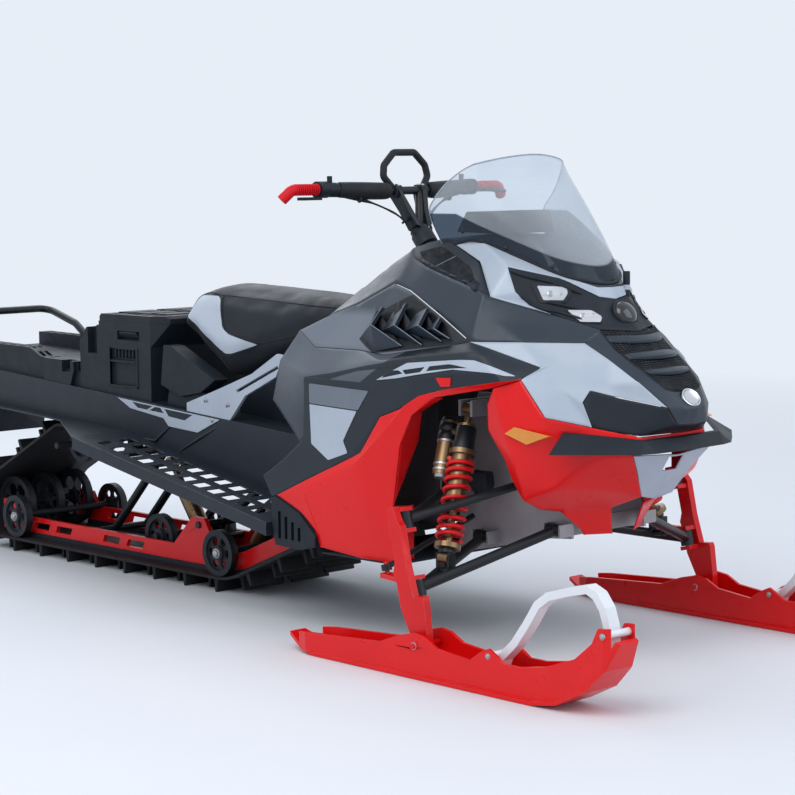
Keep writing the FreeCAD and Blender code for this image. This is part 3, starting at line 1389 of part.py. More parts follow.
def headlamps():
    """Lenses that stand in the lamp housing."""
    housing = lamp_housing()
    lenses = []
    for corners in LENSES:
        lenses.append(largest(facet_block(corners, LENS_OUT, LENS_DEPTH).cut(housing)))
    return Part.Compound(lenses + [mirrored(lens) for lens in lenses])


REFLECTOR = [(1092, -333, 572), (1118, -326, 589), (1206, -296, 571), (1146, -312, 547)]
REFLECTOR_OUT = (0.35, -0.93, 0.1)


def reflectors():
    """Amber side reflectors on the nose."""
    shell = nose()
    return pair(largest(facet_block(REFLECTOR, REFLECTOR_OUT, 22).cut(shell)))


SHAPES = {
    "track": track,
    "skid_rails": skid_rails,
    "sliders": sliders,
    "skid_wheels": skid_wheels,
    "drive_axle": drive_axle,
    "skid_arms": skid_arms,
    "skid_shocks": skid_shocks,
    "tunnel": tunnel,
    "running_boards": running_boards,
    "belly_pan": belly_pan,
    "belly_floor": belly_floor,
    "toe_guards": toe_guards,
    "side_panels": side_panels,
    "vents": vents,
    "hood": hood,
    "mesh_windows": mesh_windows,
    "grille": grille,
    "flares": flares,
    "lower_intake": lower_intake,
    "keel_plate": keel_plate,
    "lamp_housing": lamp_housing,
    "headlamps": headlamps,
    "nose": nose,
    "reflectors": reflectors,
    "lamp_bezel": lamp_bezel,
    "front_bumper": front_bumper,
    "windshield": windshield,
    "console": console,
    "bulkhead": bulkhead,
    "engine": engine,
    "seat": seat,
    "seat_base": seat_base,
    "seat_struts": seat_struts,
    "tunnel_trims": tunnel_trims,
    "side_pods": side_pods,
    "storage_box": storage_box,
    "storage_lid": storage_lid,
    "cargo_deck": cargo_deck,
    "rear_hoop": rear_hoop,
    "snow_flap": snow_flap,
    "tail_lamp": tail_lamp,
    "handlebar": handlebar,
    "grips": grips,
    "bar_controls": bar_controls,
    "grab_strap": grab_strap,
    "lower_arms": lambda: pair(lower_arm()),
    "upper_arms": lambda: pair(upper_arm()),
    "shock_dampers": lambda: pair(shock_damper()),
    "shock_springs": lambda: pair(shock_spring()),
    "knuckle_right": knuckle,
    "knuckle_left": lambda: mirrored(knuckle()),
    "ski_right": ski,
    "ski_left": lambda: mirrored(ski()),
    "ski_loop_right": ski_loop,
    "ski_loop_left": lambda: mirrored(ski_loop()),
    "tie_rod_right": tie_rod,
    "tie_rod_left": lambda: mirrored(tie_rod()),
}

os.makedirs("parts", exist_ok=True)
for node, make in SHAPES.items():
    make().exportStep("parts/" + node + ".step")
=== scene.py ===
import math
import json
import bmesh
import bpy
import numpy as np
from mathutils import Matrix, Vector
from mathutils.bvhtree import BVHTree
from mathutils.geometry import delaunay_2d_cdt


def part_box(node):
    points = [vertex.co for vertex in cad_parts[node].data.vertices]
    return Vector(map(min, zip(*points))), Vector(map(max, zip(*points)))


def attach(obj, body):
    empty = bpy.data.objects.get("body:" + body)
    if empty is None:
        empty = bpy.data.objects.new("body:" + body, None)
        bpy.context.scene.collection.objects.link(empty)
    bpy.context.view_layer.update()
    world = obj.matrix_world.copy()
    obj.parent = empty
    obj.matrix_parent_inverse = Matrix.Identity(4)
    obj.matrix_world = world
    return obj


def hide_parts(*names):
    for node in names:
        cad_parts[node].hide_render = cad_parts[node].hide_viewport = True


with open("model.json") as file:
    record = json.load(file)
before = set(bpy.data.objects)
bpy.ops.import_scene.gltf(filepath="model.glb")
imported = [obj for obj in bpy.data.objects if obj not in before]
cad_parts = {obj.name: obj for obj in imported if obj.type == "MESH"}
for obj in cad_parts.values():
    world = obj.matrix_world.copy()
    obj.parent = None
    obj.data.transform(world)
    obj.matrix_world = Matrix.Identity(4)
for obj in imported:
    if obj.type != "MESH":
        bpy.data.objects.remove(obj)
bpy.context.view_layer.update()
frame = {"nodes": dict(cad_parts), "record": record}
NODES = frame["nodes"]
SLOTS = {entry["node"]: entry["material_slot"] for entry in frame["record"]["subparts"]}
MATS = {}
SKINS = {}
MM = 0.001
WELD = 2e-5


# node materials
def new_material(name):
    """Empty node material with its shader and output."""
    mat = bpy.data.materials.new(name)
    MATS[name] = mat
    mat.use_nodes = True
    tree = mat.node_tree
    tree.nodes.clear()
    out = tree.nodes.new("ShaderNodeOutputMaterial")
    shader = tree.nodes.new("ShaderNodeBsdfPrincipled")
    tree.links.new(shader.outputs["BSDF"], out.inputs["Surface"])
    return mat, tree, shader, out


def coords(tree, scale=(1, 1, 1)):
    """Object coordinates, stretched."""
    pos = tree.nodes.new("ShaderNodeTexCoord")
    mapping = tree.nodes.new("ShaderNodeMapping")
    mapping.inputs["Scale"].default_value = scale
    tree.links.new(pos.outputs["Object"], mapping.inputs["Vector"])
    return mapping.outputs["Vector"]


def noise(tree, vector, scale, detail=4.0, rough=0.55):
    """Soft noise between 0 and 1."""
    node = tree.nodes.new("ShaderNodeTexNoise")
    node.inputs["Scale"].default_value = scale
    node.inputs["Detail"].default_value = detail
    node.inputs["Roughness"].default_value = rough
    tree.links.new(vector, node.inputs["Vector"])
    return node.outputs["Fac"]


def voronoi(tree, vector, scale):
    """Distance to the nearest cell point."""
    node = tree.nodes.new("ShaderNodeTexVoronoi")
    node.inputs["Scale"].default_value = scale
    tree.links.new(vector, node.inputs["Vector"])
    return node.outputs["Distance"]


def ramp(tree, value, stops):
    """Colours by value."""
    node = tree.nodes.new("ShaderNodeValToRGB")
    tree.links.new(value, node.inputs["Fac"])
    elements = node.color_ramp.elements
    while len(elements) < len(stops):
        elements.new(0.5)
    for element, (place, colour) in zip(elements, stops):
        element.position = place
        element.color = (*colour, 1.0)
    return node.outputs["Color"]


def mapped(tree, value, low, high, to_low, to_high):
    """Value moved from one range to another and held inside it."""
    node = tree.nodes.new("ShaderNodeMapRange")
    node.inputs["From Min"].default_value = low
    node.inputs["From Max"].default_value = high
    node.inputs["To Min"].default_value = to_low
    node.inputs["To Max"].default_value = to_high
    tree.links.new(value, node.inputs["Value"])
    return node.outputs["Result"]


def mixed(tree, factor, a, b):
    """Mix of two colours."""
    node = tree.nodes.new("ShaderNodeMix")
    node.data_type = "RGBA"
    for socket, value in ((node.inputs["Factor"], factor), (node.inputs["A"], a), (node.inputs["B"], b)):
        if isinstance(value, bpy.types.NodeSocket):
            tree.links.new(value, socket)
        elif isinstance(value, tuple):
            socket.default_value = (*value, 1.0)
        else:
            socket.default_value = value
    return node.outputs["Result"]


def math_node(tree, operation, a, b):
    """One sum or comparison of two values."""
    node = tree.nodes.new("ShaderNodeMath")
    node.operation = operation
    for socket, value in zip(node.inputs, (a, b)):
        if isinstance(value, bpy.types.NodeSocket):
            tree.links.new(value, socket)
        else:
            socket.default_value = value
    return node.outputs["Value"]


def bump(tree, height, strength, distance, normal=None):
    """Normal of a relief, on top of an earlier one."""
    node = tree.nodes.new("ShaderNodeBump")
    node.inputs["Strength"].default_value = strength
    node.inputs["Distance"].default_value = distance
    tree.links.new(height, node.inputs["Height"])
    if normal is not None:
        tree.links.new(normal, node.inputs["Normal"])
    return node.outputs["Normal"]


def edge_wear(tree, vector, colour, worn, amount):
    """Lighter colour on sharp edges, broken up by noise."""
    geometry = tree.nodes.new("ShaderNodeNewGeometry")
    rounded = tree.nodes.new("ShaderNodeBevel")
    rounded.samples = 4
    rounded.inputs["Radius"].default_value = 0.0022
    turn = tree.nodes.new("ShaderNodeVectorMath")
    turn.operation = "DOT_PRODUCT"
    tree.links.new(rounded.outputs["Normal"], turn.inputs[0])
    tree.links.new(geometry.outputs["Normal"], turn.inputs[1])
    sharp = mapped(tree, turn.outputs["Value"], 0.99, 0.90, 0.0, 1.0)
    patchy = mapped(tree, noise(tree, vector, 46.0), 0.40, 0.66, 0.1, amount)
    return mixed(tree, math_node(tree, "MULTIPLY", sharp, patchy), colour, worn)


def surface(name, dark, light, rough, metal=0.0, grain=(), blotch=6.0, worn=None, wear=0.5,
            coat=0.0, specular=0.5, sheen=0.0):
    """Opaque material: two close colours, uneven roughness, a fine grain and worn edges."""
    mat, tree, shader, _ = new_material(name)
    vector = coords(tree)
    broad = noise(tree, vector, blotch, 5.0, 0.6)
    colour = ramp(tree, broad, [(0.3, dark), (0.7, light)])
    if worn is not None:
        colour = edge_wear(tree, vector, colour, worn, wear)
    tree.links.new(colour, shader.inputs["Base Color"])
    uneven = noise(tree, vector, blotch * 4.5, 6.0, 0.65)
    tree.links.new(mapped(tree, uneven, 0.3, 0.7, *rough), shader.inputs["Roughness"])
    shader.inputs["Metallic"].default_value = metal
    shader.inputs["Specular IOR Level"].default_value = specular
    shader.inputs["Coat Weight"].default_value = coat
    shader.inputs["Coat Roughness"].default_value = 0.12
    shader.inputs["Sheen Weight"].default_value = sheen
    normal = None
    for scale, strength, distance, kind in grain:
        field = voronoi(tree, vector, scale) if kind == "cell" else noise(tree, vector, scale, 3.0)
        normal = bump(tree, field, strength, distance, normal)
    if grain:
        tree.links.new(normal, shader.inputs["Normal"])
    return mat


FINE = [(900.0, 0.12, 0.0005, "noise")]
MOULD = [(620.0, 0.28, 0.0007, "cell"), (60.0, 0.08, 0.002, "noise")]
ORANGE_PEEL = [(150.0, 0.05, 0.001, "noise")] + FINE
surface("red_plastic", (0.70, 0.003, 0.004), (0.76, 0.005, 0.006), (0.26, 0.36), grain=ORANGE_PEEL,
        worn=(0.80, 0.10, 0.08), coat=0.08, specular=0.3)
surface("red_metal", (0.62, 0.003, 0.005), (0.70, 0.005, 0.007), (0.28, 0.42), grain=FINE,
        worn=(0.58, 0.30, 0.28), coat=0.05, specular=0.32)
surface("black_plastic", (0.006, 0.010, 0.017), (0.010, 0.015, 0.023), (0.46, 0.62), grain=MOULD,
        worn=(0.055, 0.065, 0.080), specular=0.30)
surface("wheel_black", (0.008, 0.011, 0.016), (0.015, 0.019, 0.026), (0.45, 0.62), grain=MOULD,
        worn=(0.10, 0.105, 0.115), specular=0.3)
surface("black_metal", (0.005, 0.007, 0.010), (0.009, 0.012, 0.016), (0.32, 0.46),
        grain=[(420.0, 0.2, 0.0005, "noise")], worn=(0.11, 0.115, 0.125), wear=0.6, specular=0.35)
surface("damper_metal", (0.20, 0.125, 0.065), (0.27, 0.175, 0.09), (0.26, 0.38), metal=0.8, grain=FINE,
        worn=(0.48, 0.38, 0.26))
surface("tunnel_black", (0.009, 0.014, 0.023), (0.014, 0.020, 0.031), (0.38, 0.52),
        grain=[(260.0, 0.10, 0.0008, "noise")], worn=(0.20, 0.21, 0.23), wear=0.8, blotch=3.0,
        specular=0.35)
surface("graphite_plastic", (0.018, 0.028, 0.042), (0.026, 0.037, 0.053), (0.34, 0.46), metal=0.1,
        grain=ORANGE_PEEL, worn=(0.15, 0.165, 0.19), specular=0.4)
surface("graphite_dark", (0.008, 0.013, 0.021), (0.012, 0.018, 0.028), (0.30, 0.42), grain=ORANGE_PEEL,
        worn=(0.08, 0.09, 0.11), specular=0.35)
surface("graphite_light", (0.130, 0.155, 0.190), (0.160, 0.185, 0.225), (0.30, 0.42), metal=0.15,
        grain=ORANGE_PEEL, worn=(0.30, 0.32, 0.35))
surface("silver_plastic", (0.370, 0.425, 0.505), (0.425, 0.480, 0.560), (0.36, 0.48), metal=0.1,
        grain=ORANGE_PEEL, worn=(0.62, 0.66, 0.71))
surface("grey_metal", (0.27, 0.275, 0.295), (0.35, 0.355, 0.375), (0.42, 0.58), metal=0.45,
        grain=[(150.0, 0.3, 0.001, "noise")], worn=(0.55, 0.56, 0.58))
surface("engine_metal", (0.02, 0.022, 0.026), (0.04, 0.042, 0.046), (0.5, 0.7), metal=0.3,
        grain=[(150.0, 0.4, 0.001, "noise")], specular=0.3)
surface("seat_vinyl", (0.005, 0.008, 0.013), (0.009, 0.013, 0.019), (0.46, 0.62),
        grain=[(420.0, 0.40, 0.0008, "cell"), (28.0, 0.12, 0.003, "noise")], sheen=0.05, specular=0.28)
surface("seat_silver", (0.42, 0.475, 0.555), (0.48, 0.535, 0.615), (0.44, 0.58),
        grain=[(420.0, 0.35, 0.0008, "cell")], sheen=0.05)
surface("lamp_red", (0.34, 0.004, 0.006), (0.48, 0.008, 0.010), (0.12, 0.2), coat=0.8,
        grain=[(90.0, 0.3, 0.002, "cell")])
surface("red_rubber", (0.56, 0.004, 0.010), (0.64, 0.006, 0.014), (0.5, 0.66),
        grain=[(500.0, 0.3, 0.0008, "cell")], specular=0.25)
surface("black_rubber", (0.006, 0.008, 0.011), (0.012, 0.014, 0.018), (0.55, 0.72),
        grain=[(480.0, 0.35, 0.0008, "cell")], sheen=0.05, specular=0.3)
surface("white_plastic", (0.72, 0.75, 0.79), (0.79, 0.82, 0.86), (0.36, 0.5), grain=FINE,
        worn=(0.86, 0.88, 0.90))
surface("track_rubber", (0.006, 0.007, 0.009), (0.014, 0.015, 0.018), (0.55, 0.75),
        grain=[(300.0, 0.4, 0.0010, "cell"), (40.0, 0.25, 0.003, "noise")], worn=(0.06, 0.062, 0.066),
        specular=0.3)
surface("dark_gloss", (0.004, 0.005, 0.008), (0.008, 0.010, 0.014), (0.06, 0.14), coat=0.5,
        grain=[(120.0, 0.04, 0.001, "noise")])
surface("chrome", (0.62, 0.63, 0.65), (0.72, 0.73, 0.75), (0.14, 0.26), metal=1.0,
        grain=[(200.0, 0.1, 0.0006, "noise")])
surface("steel", (0.34, 0.34, 0.35), (0.46, 0.46, 0.47), (0.28, 0.42), metal=0.9,
        grain=[(320.0, 0.25, 0.0005, "noise")])


def glass(name, tint, clear, foot=None):
    """Thin clear plastic: mostly see-through, with a glossy skin; foot is a darker tint near its base."""
    _, tree, shader, out = new_material(name)
    vector = coords(tree)
    through = tree.nodes.new("ShaderNodeBsdfTransparent")
    through.inputs["Color"].default_value = (*tint, 1.0)
    streak = noise(tree, coords(tree, (3, 3, 22)), 5.0, 6.0, 0.6)
    tree.links.new(ramp(tree, streak, [(0.3, tuple(c * 0.75 for c in tint)), (0.7, tint)]),
                   shader.inputs["Base Color"])
    tree.links.new(mapped(tree, noise(tree, vector, 30.0), 0.3, 0.7, *GLASS_ROUGH),
                   shader.inputs["Roughness"])
    mix = tree.nodes.new("ShaderNodeMixShader")
    fresnel = tree.nodes.new("ShaderNodeLayerWeight")
    fresnel.inputs["Blend"].default_value = 0.25
    cover = mapped(tree, fresnel.outputs["Facing"], 0.0, 1.0, 1.0 - clear, 1.0 - clear * 0.45)
    if foot is not None:
        split = tree.nodes.new("ShaderNodeSeparateXYZ")
        tree.links.new(vector, split.inputs["Vector"])
        fall = math_node(tree, "SUBTRACT", split.outputs["X"], FOOT_X)
        fall = math_node(tree, "MULTIPLY", math_node(tree, "MAXIMUM", fall, 0.0), FOOT_FALL)
        above = math_node(tree, "ADD", math_node(tree, "SUBTRACT", split.outputs["Z"], FOOT_Z), fall)
        dark = mapped(tree, above, 0.0, 0.003, 1.0, 0.0)
        tree.links.new(mixed(tree, dark, tint, foot), through.inputs["Color"])
        cover = math_node(tree, "MAXIMUM", cover, math_node(tree, "MULTIPLY", dark, 0.34))
        tree.links.new(mixed(tree, dark, tint, (0.05, 0.07, 0.095)), shader.inputs["Base Color"])
    tree.links.new(cover, mix.inputs["Fac"])
    tree.links.new(through.outputs["BSDF"], mix.inputs[1])
    tree.links.new(shader.outputs["BSDF"], mix.inputs[2])
    tree.links.new(mix.outputs["Shader"], out.inputs["Surface"])


# where the screen's darker foot ends: above this height, lower ahead of this x
FOOT_X, FOOT_Z, FOOT_FALL = 0.80, 1.092, 0.44
GLASS_ROUGH = (0.04, 0.14)
glass("screen", (0.82, 0.86, 0.90), 0.86, foot=(0.33, 0.39, 0.46))
glass("screen_rim", (0.45, 0.52, 0.60), 0.35)
glass("lamp_clear", (0.85, 0.88, 0.93), 0.4)
surface("amber_lens", (0.62, 0.19, 0.004), (0.74, 0.27, 0.008), (0.12, 0.22), coat=0.8,
        grain=[(240.0, 0.5, 0.001, "cell")])

# edges of the colour areas on the side panels: two-tone paint with painted light and shade on it, lighter
# above and darker below
BELT_Z, PILLAR_X, TOE_X, TOE_Z, TOE_SLOPE = 0.672, 0.417, 0.400, 0.506, 0.70


def below(tree, value, limit, soft=0.0015):
    """One where a coordinate is under a limit."""
    return mapped(tree, value, limit - soft, limit + soft, 1.0, 0.0)


def painting(mat):
    """Tree, shader, colour, coordinates, x and z of a material that gets painted areas."""
    tree = mat.node_tree
    shader = next(n for n in tree.nodes if n.type == "BSDF_PRINCIPLED")
    base = shader.inputs["Base Color"].links[0].from_socket
    split = tree.nodes.new("ShaderNodeSeparateXYZ")
    vector = coords(tree)
    tree.links.new(vector, split.inputs["Vector"])
    return tree, shader, base, vector, split.outputs["X"], split.outputs["Z"]


def panel_paint_and_shade():
    """Side panel: lighter upper facets (two-tone paint and painted light), a grey pillar that darkens
    downward (painted shade), and a dark field round the shield and down to the toe (two-tone paint and
    painted shade).
    """
    mat = surface("panel_paint_and_shade", (0.085, 0.100, 0.122), (0.110, 0.128, 0.152), (0.34, 0.46), metal=0.1,
                  grain=ORANGE_PEEL, specular=0.4)
    tree, shader, light, vector, x, z = painting(mat)
    # painted shade: the pillar's colour darkens towards the bottom
    low = mapped(tree, z, BELT_Z - 0.10, BELT_Z + 0.05, 1.0, 0.0)
    pillar = mixed(tree, low, light, (0.030, 0.040, 0.055))
    # dark field ahead of the pillar and under the belt, and dark toe: two-tone paint with painted shade
    ahead = math_node(tree, "SUBTRACT", 1.0, below(tree, x, PILLAR_X))
    field = math_node(tree, "MULTIPLY", ahead, below(tree, z, BELT_Z))
    rise = math_node(tree, "MULTIPLY", math_node(tree, "SUBTRACT", x, TOE_X), TOE_SLOPE)
    toe = below(tree, math_node(tree, "SUBTRACT", z, rise), TOE_Z)
    dark = math_node(tree, "MAXIMUM", field, toe)
    colour = mixed(tree, dark, pillar, (0.011, 0.017, 0.026))
    tree.links.new(edge_wear(tree, vector, colour, (0.20, 0.22, 0.25), 0.5), shader.inputs["Base Color"])


def vent_paint_and_shade():
    """Vent panel: mid grey above, light grey behind and along the sill, and painted shade in the mouth, the
    opening below the cowl ridge.
    """
    mat = surface("vent_paint_and_shade", (0.040, 0.052, 0.068), (0.050, 0.064, 0.082), (0.34, 0.46), metal=0.1,
                  grain=ORANGE_PEEL, specular=0.4)
    tree, shader, base, _, x, z = painting(mat)
    mouth_shade = None
    for part_x, part_z, limit in MOUTH_SHADE_SIDES:
        across = math_node(tree, "MULTIPLY", x, part_x)
        upward = math_node(tree, "MULTIPLY", z, part_z)
        within = below(tree, math_node(tree, "ADD", across, upward), limit)
        mouth_shade = within if mouth_shade is None else math_node(tree, "MULTIPLY", mouth_shade, within)
    low = below(tree, z, VENT_LIGHT_Z, 0.012)
    colour = mixed(tree, low, base, (0.15, 0.172, 0.208))
    # painted shade: the mouth, the opening below the cowl ridge, is coloured near black
    tree.links.new(mixed(tree, mouth_shade, colour, (0.004, 0.006, 0.010)), shader.inputs["Base Color"])


VENT_LIGHT_Z = 0.842
# sides of the mouth's painted shade: x and z shares and the limit of their sum
MOUTH_SHADE_SIDES = [(-1.0, 0.5625, -0.132), (-0.473, 1.0, 0.561), (0.479, 1.0, 1.249), (0.125, -1.0, -0.662),
               (-0.5, -1.0, -1.059)]
panel_paint_and_shade()
vent_paint_and_shade()
for name, node in NODES.items():
    node.data.materials.clear()
    node.data.materials.append(MATS[SLOTS[name]])
# materials of skins with painted areas: two-tone paint, and painted light and shade
PAINTED = {"side_panels": "panel_paint_and_shade", "vents": "vent_paint_and_shade"}


# shared steps of the pieces
def placed(name, data):
    """New object in the scene."""
    obj = bpy.data.objects.new(name, data)
    bpy.context.scene.collection.objects.link(obj)
    return obj


def soften(obj, width, segments=1, angle=55, harden=True):
    """Bevel on the edges sharper than an angle in degrees."""
    edge = obj.modifiers.new("edge", "BEVEL")
    edge.width = width
    edge.segments = segments
    edge.limit_method = "ANGLE"
    edge.angle_limit = math.radians(angle)
    edge.harden_normals = harden


def thicken(obj, thickness, offset=-1.0):
    """Wall on a sheet."""
    solid = obj.modifiers.new("thickness", "SOLIDIFY")
    solid.thickness = thickness
    solid.offset = offset


def wired(obj, thickness):
    """Net of wires along a sheet's edges."""
    wires = obj.modifiers.new("wires", "WIREFRAME")
    wires.thickness = thickness
    wires.use_even_offset = False


def gathered(place, ends, weigh):
    """Sum of each vertex's weighted neighbours, and of the weights."""
    total = np.zeros(place.shape)
    amount = np.zeros(len(place))
    for here, there in ((ends[:, 0], ends[:, 1]), (ends[:, 1], ends[:, 0])):
        share = weigh(here, there)
        np.add.at(total, here, place[there] * share[:, None])
        np.add.at(amount, here, share)
    return total, amount


# fair skins over the faceted shells
SPINE_REAR = Vector((0.33, 0.0, 0.52))
SPINE_FRONT = Vector((1.0, 0.0, 0.6))
SHELL_WALL = 0.005
SKIN_THICK = 0.0035
SKIN_GAP = 0.0012
CREASE_ROUNDS = 2


def away(point):
    """Direction from the body's spine to a point."""
    along = SPINE_FRONT - SPINE_REAR
    share = max(0.0, min(1.0, (point - SPINE_REAR).dot(along) / along.length_squared))
    return (point - SPINE_REAR - along * share).normalized()


def outer_faces(node):
    """Outside facets of a thin shell, as a bmesh."""
    bm = bmesh.new()
    bm.from_mesh(NODES[node].data)
    bmesh.ops.remove_doubles(bm, verts=bm.verts, dist=WELD)
    inside = []
    for face in bm.faces:
        out = away(face.calc_center_median())
        rim = False
        for edge in face.edges:
            step = edge.verts[1].co - edge.verts[0].co
            outward = abs(step.normalized().dot(away(edge.verts[0].co))) > 0.97
            if step.length < SHELL_WALL * 1.25 and outward:
                rim = True
        if rim or face.normal.dot(out) < 0.02:
            inside.append(face)
    bmesh.ops.delete(bm, geom=inside, context="FACES")
    return bm


def relax(bm, rounds):
    """Smooths free vertices, lets creases run fair along themselves and holds the rims."""
    bm.verts.ensure_lookup_table()
    bm.verts.index_update()
    place = np.array([v.co for v in bm.verts])
    ends = np.array([(e.verts[0].index, e.verts[1].index) for e in bm.edges])
    rim = np.array([e.is_boundary for e in bm.edges])
    sharp = np.array([not e.smooth for e in bm.edges]) | rim
    on_rim = np.zeros(len(place), bool)
    on_rim[ends[rim].ravel()] = True
    sharp_count = np.zeros(len(place))
    np.add.at(sharp_count, ends[sharp].ravel(), 1)
    creased = sharp_count > 0
    held = on_rim | (creased & (sharp_count != 2))

    def step(x, share, keep, weight):
        total, amount = gathered(x, ends, lambda here, _: np.where(creased[here], weight, 1.0))
        moved = total / np.maximum(amount, 1e-9)[:, None]
        return np.where(keep[:, None], x, x + (moved - x) * share)

    def inward(here, there):
        return np.where(on_rim[here] & ~on_rim[there], 1.0, 0.0)

    for _ in range(rounds):
        place = step(place, 0.6, held, np.where(sharp, 1.0, 0.0))
    for _ in range(CREASE_ROUNDS):
        place = step(place, 0.5, on_rim, 1.0)
    total, amount = gathered(place, ends, inward)
    pull = total / np.maximum(amount, 1e-9)[:, None] - place
    size = np.linalg.norm(pull, axis=1)
    found = on_rim & (amount > 0) & (size > 1e-6)
    place[found] += pull[found] / size[found][:, None] * np.minimum(SKIN_GAP, size[found] * 0.7)[:, None]
    for vert, co in zip(bm.verts, place):
        vert.co = co


def skin(node, cuts, rounds, crease):
    """Fair panel in place of a faceted shell."""
    bm = outer_faces(node)
    bmesh.ops.dissolve_limit(bm, angle_limit=math.radians(0.3), verts=bm.verts, edges=bm.edges)
    bmesh.ops.triangulate(bm, faces=bm.faces)
    for edge in bm.edges:
        edge.smooth = edge.is_boundary or edge.calc_face_angle(0.0) < math.radians(crease)
    bmesh.ops.subdivide_edges(bm, edges=bm.edges, cuts=cuts, use_grid_fill=True)
    bmesh.ops.triangulate(bm, faces=bm.faces)
    relax(bm, rounds)
    for edge in bm.edges:
        edge.smooth = True
    for face in bm.faces:
        face.smooth = True
    mesh = bpy.data.meshes.new(node + "_skin")
    bm.to_mesh(mesh)
    bm.free()
    piece = placed(node + "_skin", mesh)
    thicken(piece, SKIN_THICK)
    soften(piece, 0.0007)
    mesh.materials.append(MATS[PAINTED.get(node, SLOTS[node])])
    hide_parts(node)
    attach(piece, "chassis")
    return piece


for node, cuts, rounds, crease in (
        ("belly_pan", 11, 12, 24.0), ("side_panels", 11, 14, 26.0), ("vents", 9, 8, 24.0),
        ("hood", 7, 8, 20.0), ("nose", 9, 8, 20.0), ("lamp_bezel", 9, 8, 18.0), ("flares", 9, 4, 9.0),
        ("lower_intake", 9, 6, 24.0), ("keel_plate", 7, 4, 24.0), ("lamp_housing", 9, 8, 24.0),
        ("mesh_windows", 9, 6, 24.0)):
    SKINS[node] = skin(node, cuts, rounds, crease)


def mm(*values):
    """Place in metres of millimetre values."""
    return Vector(values) * MM


def flip(point):
    """The same place on the other side of the centre plane."""
    return Vector((point[0], -point[1], point[2]))


def dress(piece, material, body="chassis", replaces=()):
    """Material and body of a finished piece; hides the parts it replaces."""
    piece.data.materials.clear()
    piece.data.materials.append(MATS[material])
    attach(piece, body)
    if replaces:
        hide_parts(*replaces)
    return piece


class Maker:
    """Gathers vertices and faces for one piece."""

    def __init__(self):
        self.verts = []
        self.faces = []

    def add(self, verts, faces, both=False):
        start = len(self.verts)
        self.verts += [Vector(v) for v in verts]
        self.faces += [tuple(i + start for i in face) for face in faces]
        if both:
            start = len(self.verts)
            self.verts += [flip(v) for v in verts]
            self.faces += [tuple(i + start for i in face[::-1]) for face in faces]

    def build(self, name, material, body="chassis", replaces=(), smooth=50.0, bevel=0.0):
        mesh = bpy.data.meshes.new(name)
        mesh.from_pydata(self.verts, [], self.faces)
        mesh.update()
        obj = placed(name, mesh)
        mesh.shade_smooth()
        mesh.set_sharp_from_angle(angle=math.radians(smooth))
        if bevel > 0:
            soften(obj, bevel, 2, 35)
        return dress(obj, material, body, replaces)


def fair(points, steps=6):
    """Points along a smooth curve through the given ones."""
    pts = [Vector(p) for p in points]
    out = []
    for i in range(len(pts) - 1):
        p1, p2 = pts[i], pts[i + 1]
        p0 = pts[i - 1] if i > 0 else p1 * 2 - p2
        p3 = pts[i + 2] if i + 2 < len(pts) else p2 * 2 - p1
        for k in range(steps):
            t = k / steps
            out.append(0.5 * ((2 * p1) + (p2 - p0) * t + (2 * p0 - 5 * p1 + 4 * p2 - p3) * t * t
                              + (3 * p1 - p0 - 3 * p2 + p3) * t ** 3))
    out.append(pts[-1])
    return out


def bar_faces(rows, sides):
    """Faces that join rows of points round a bar, and its two flat ends."""
    faces = [(i * sides + k, i * sides + (k + 1) % sides, (i + 1) * sides + (k + 1) % sides,
              (i + 1) * sides + k)
             for i in range(rows - 1) for k in range(sides)]
    return faces + [tuple(range(sides))[::-1], tuple(range((rows - 1) * sides, rows * sides))]


def tube(path, radius, sides=12, flat=(1.0, 1.0)):
    """Vertices and faces of a bar swept along a path; radius may be one value or one per point."""
    pts = [Vector(p) for p in path]
    count = len(pts)
    radii = radius if isinstance(radius, (list, tuple)) else [radius] * count
    up = Vector((0, 0, 1))
    verts = []
    for i, p in enumerate(pts):
        along = pts[min(i + 1, count - 1)] - pts[max(i - 1, 0)]
        along.normalize()
        side = along.cross(up)
        if side.length < 1e-4:
            side = along.orthogonal()
        side.normalize()
        up = side.cross(along).normalized()
        for k in range(sides):
            a = 2 * math.pi * k / sides
            across = side * (math.cos(a) * radii[i] * flat[0])
            verts.append(p + across + up * (math.sin(a) * radii[i] * flat[1]))
    return verts, bar_faces(count, sides)


def lathe(profile, start, axis, sides=28):
    """Vertices and faces of a turned shape; profile gives (distance along the axis, radius)."""
    axis = Vector(axis).normalized()
    side = axis.orthogonal().normalized()
    up = axis.cross(side)
    verts = []
    for height, radius in profile:
        for k in range(sides):
            a = 2 * math.pi * k / sides
            verts.append(Vector(start) + axis * height + (side * math.cos(a) + up * math.sin(a)) * radius)
    return verts, bar_faces(len(profile), sides)


def bolt(maker, place, normal, radius, both=True):
    """Domed bolt head with a hex socket and a washer."""
    r = radius * MM
    centre = Vector(place)
    profile = [(-0.5 * r, 1.35 * r), (0.12 * r, 1.35 * r), (0.18 * r, 1.28 * r), (0.18 * r, 1.0 * r),
               (0.5 * r, 0.96 * r), (0.66 * r, 0.82 * r), (0.72 * r, 0.6 * r), (0.72 * r, 0.46 * r)]
    maker.add(*lathe(profile[:-1], centre, normal, 16), both=both)
    maker.add(*lathe([(0.30 * r, 0.44 * r), (0.725 * r, 0.44 * r)], centre, normal, 6), both=both)


def prism(outline, direction):
    """Vertices and faces of an outline drawn out along a direction."""
    count = len(outline)
    low = [Vector(p) for p in outline]
    verts = low + [p + Vector(direction) for p in low]
    faces = [tuple(range(count))[::-1], tuple(range(count, 2 * count))]
    faces += [(i, (i + 1) % count, (i + 1) % count + count, i + count) for i in range(count)]
    return verts, faces


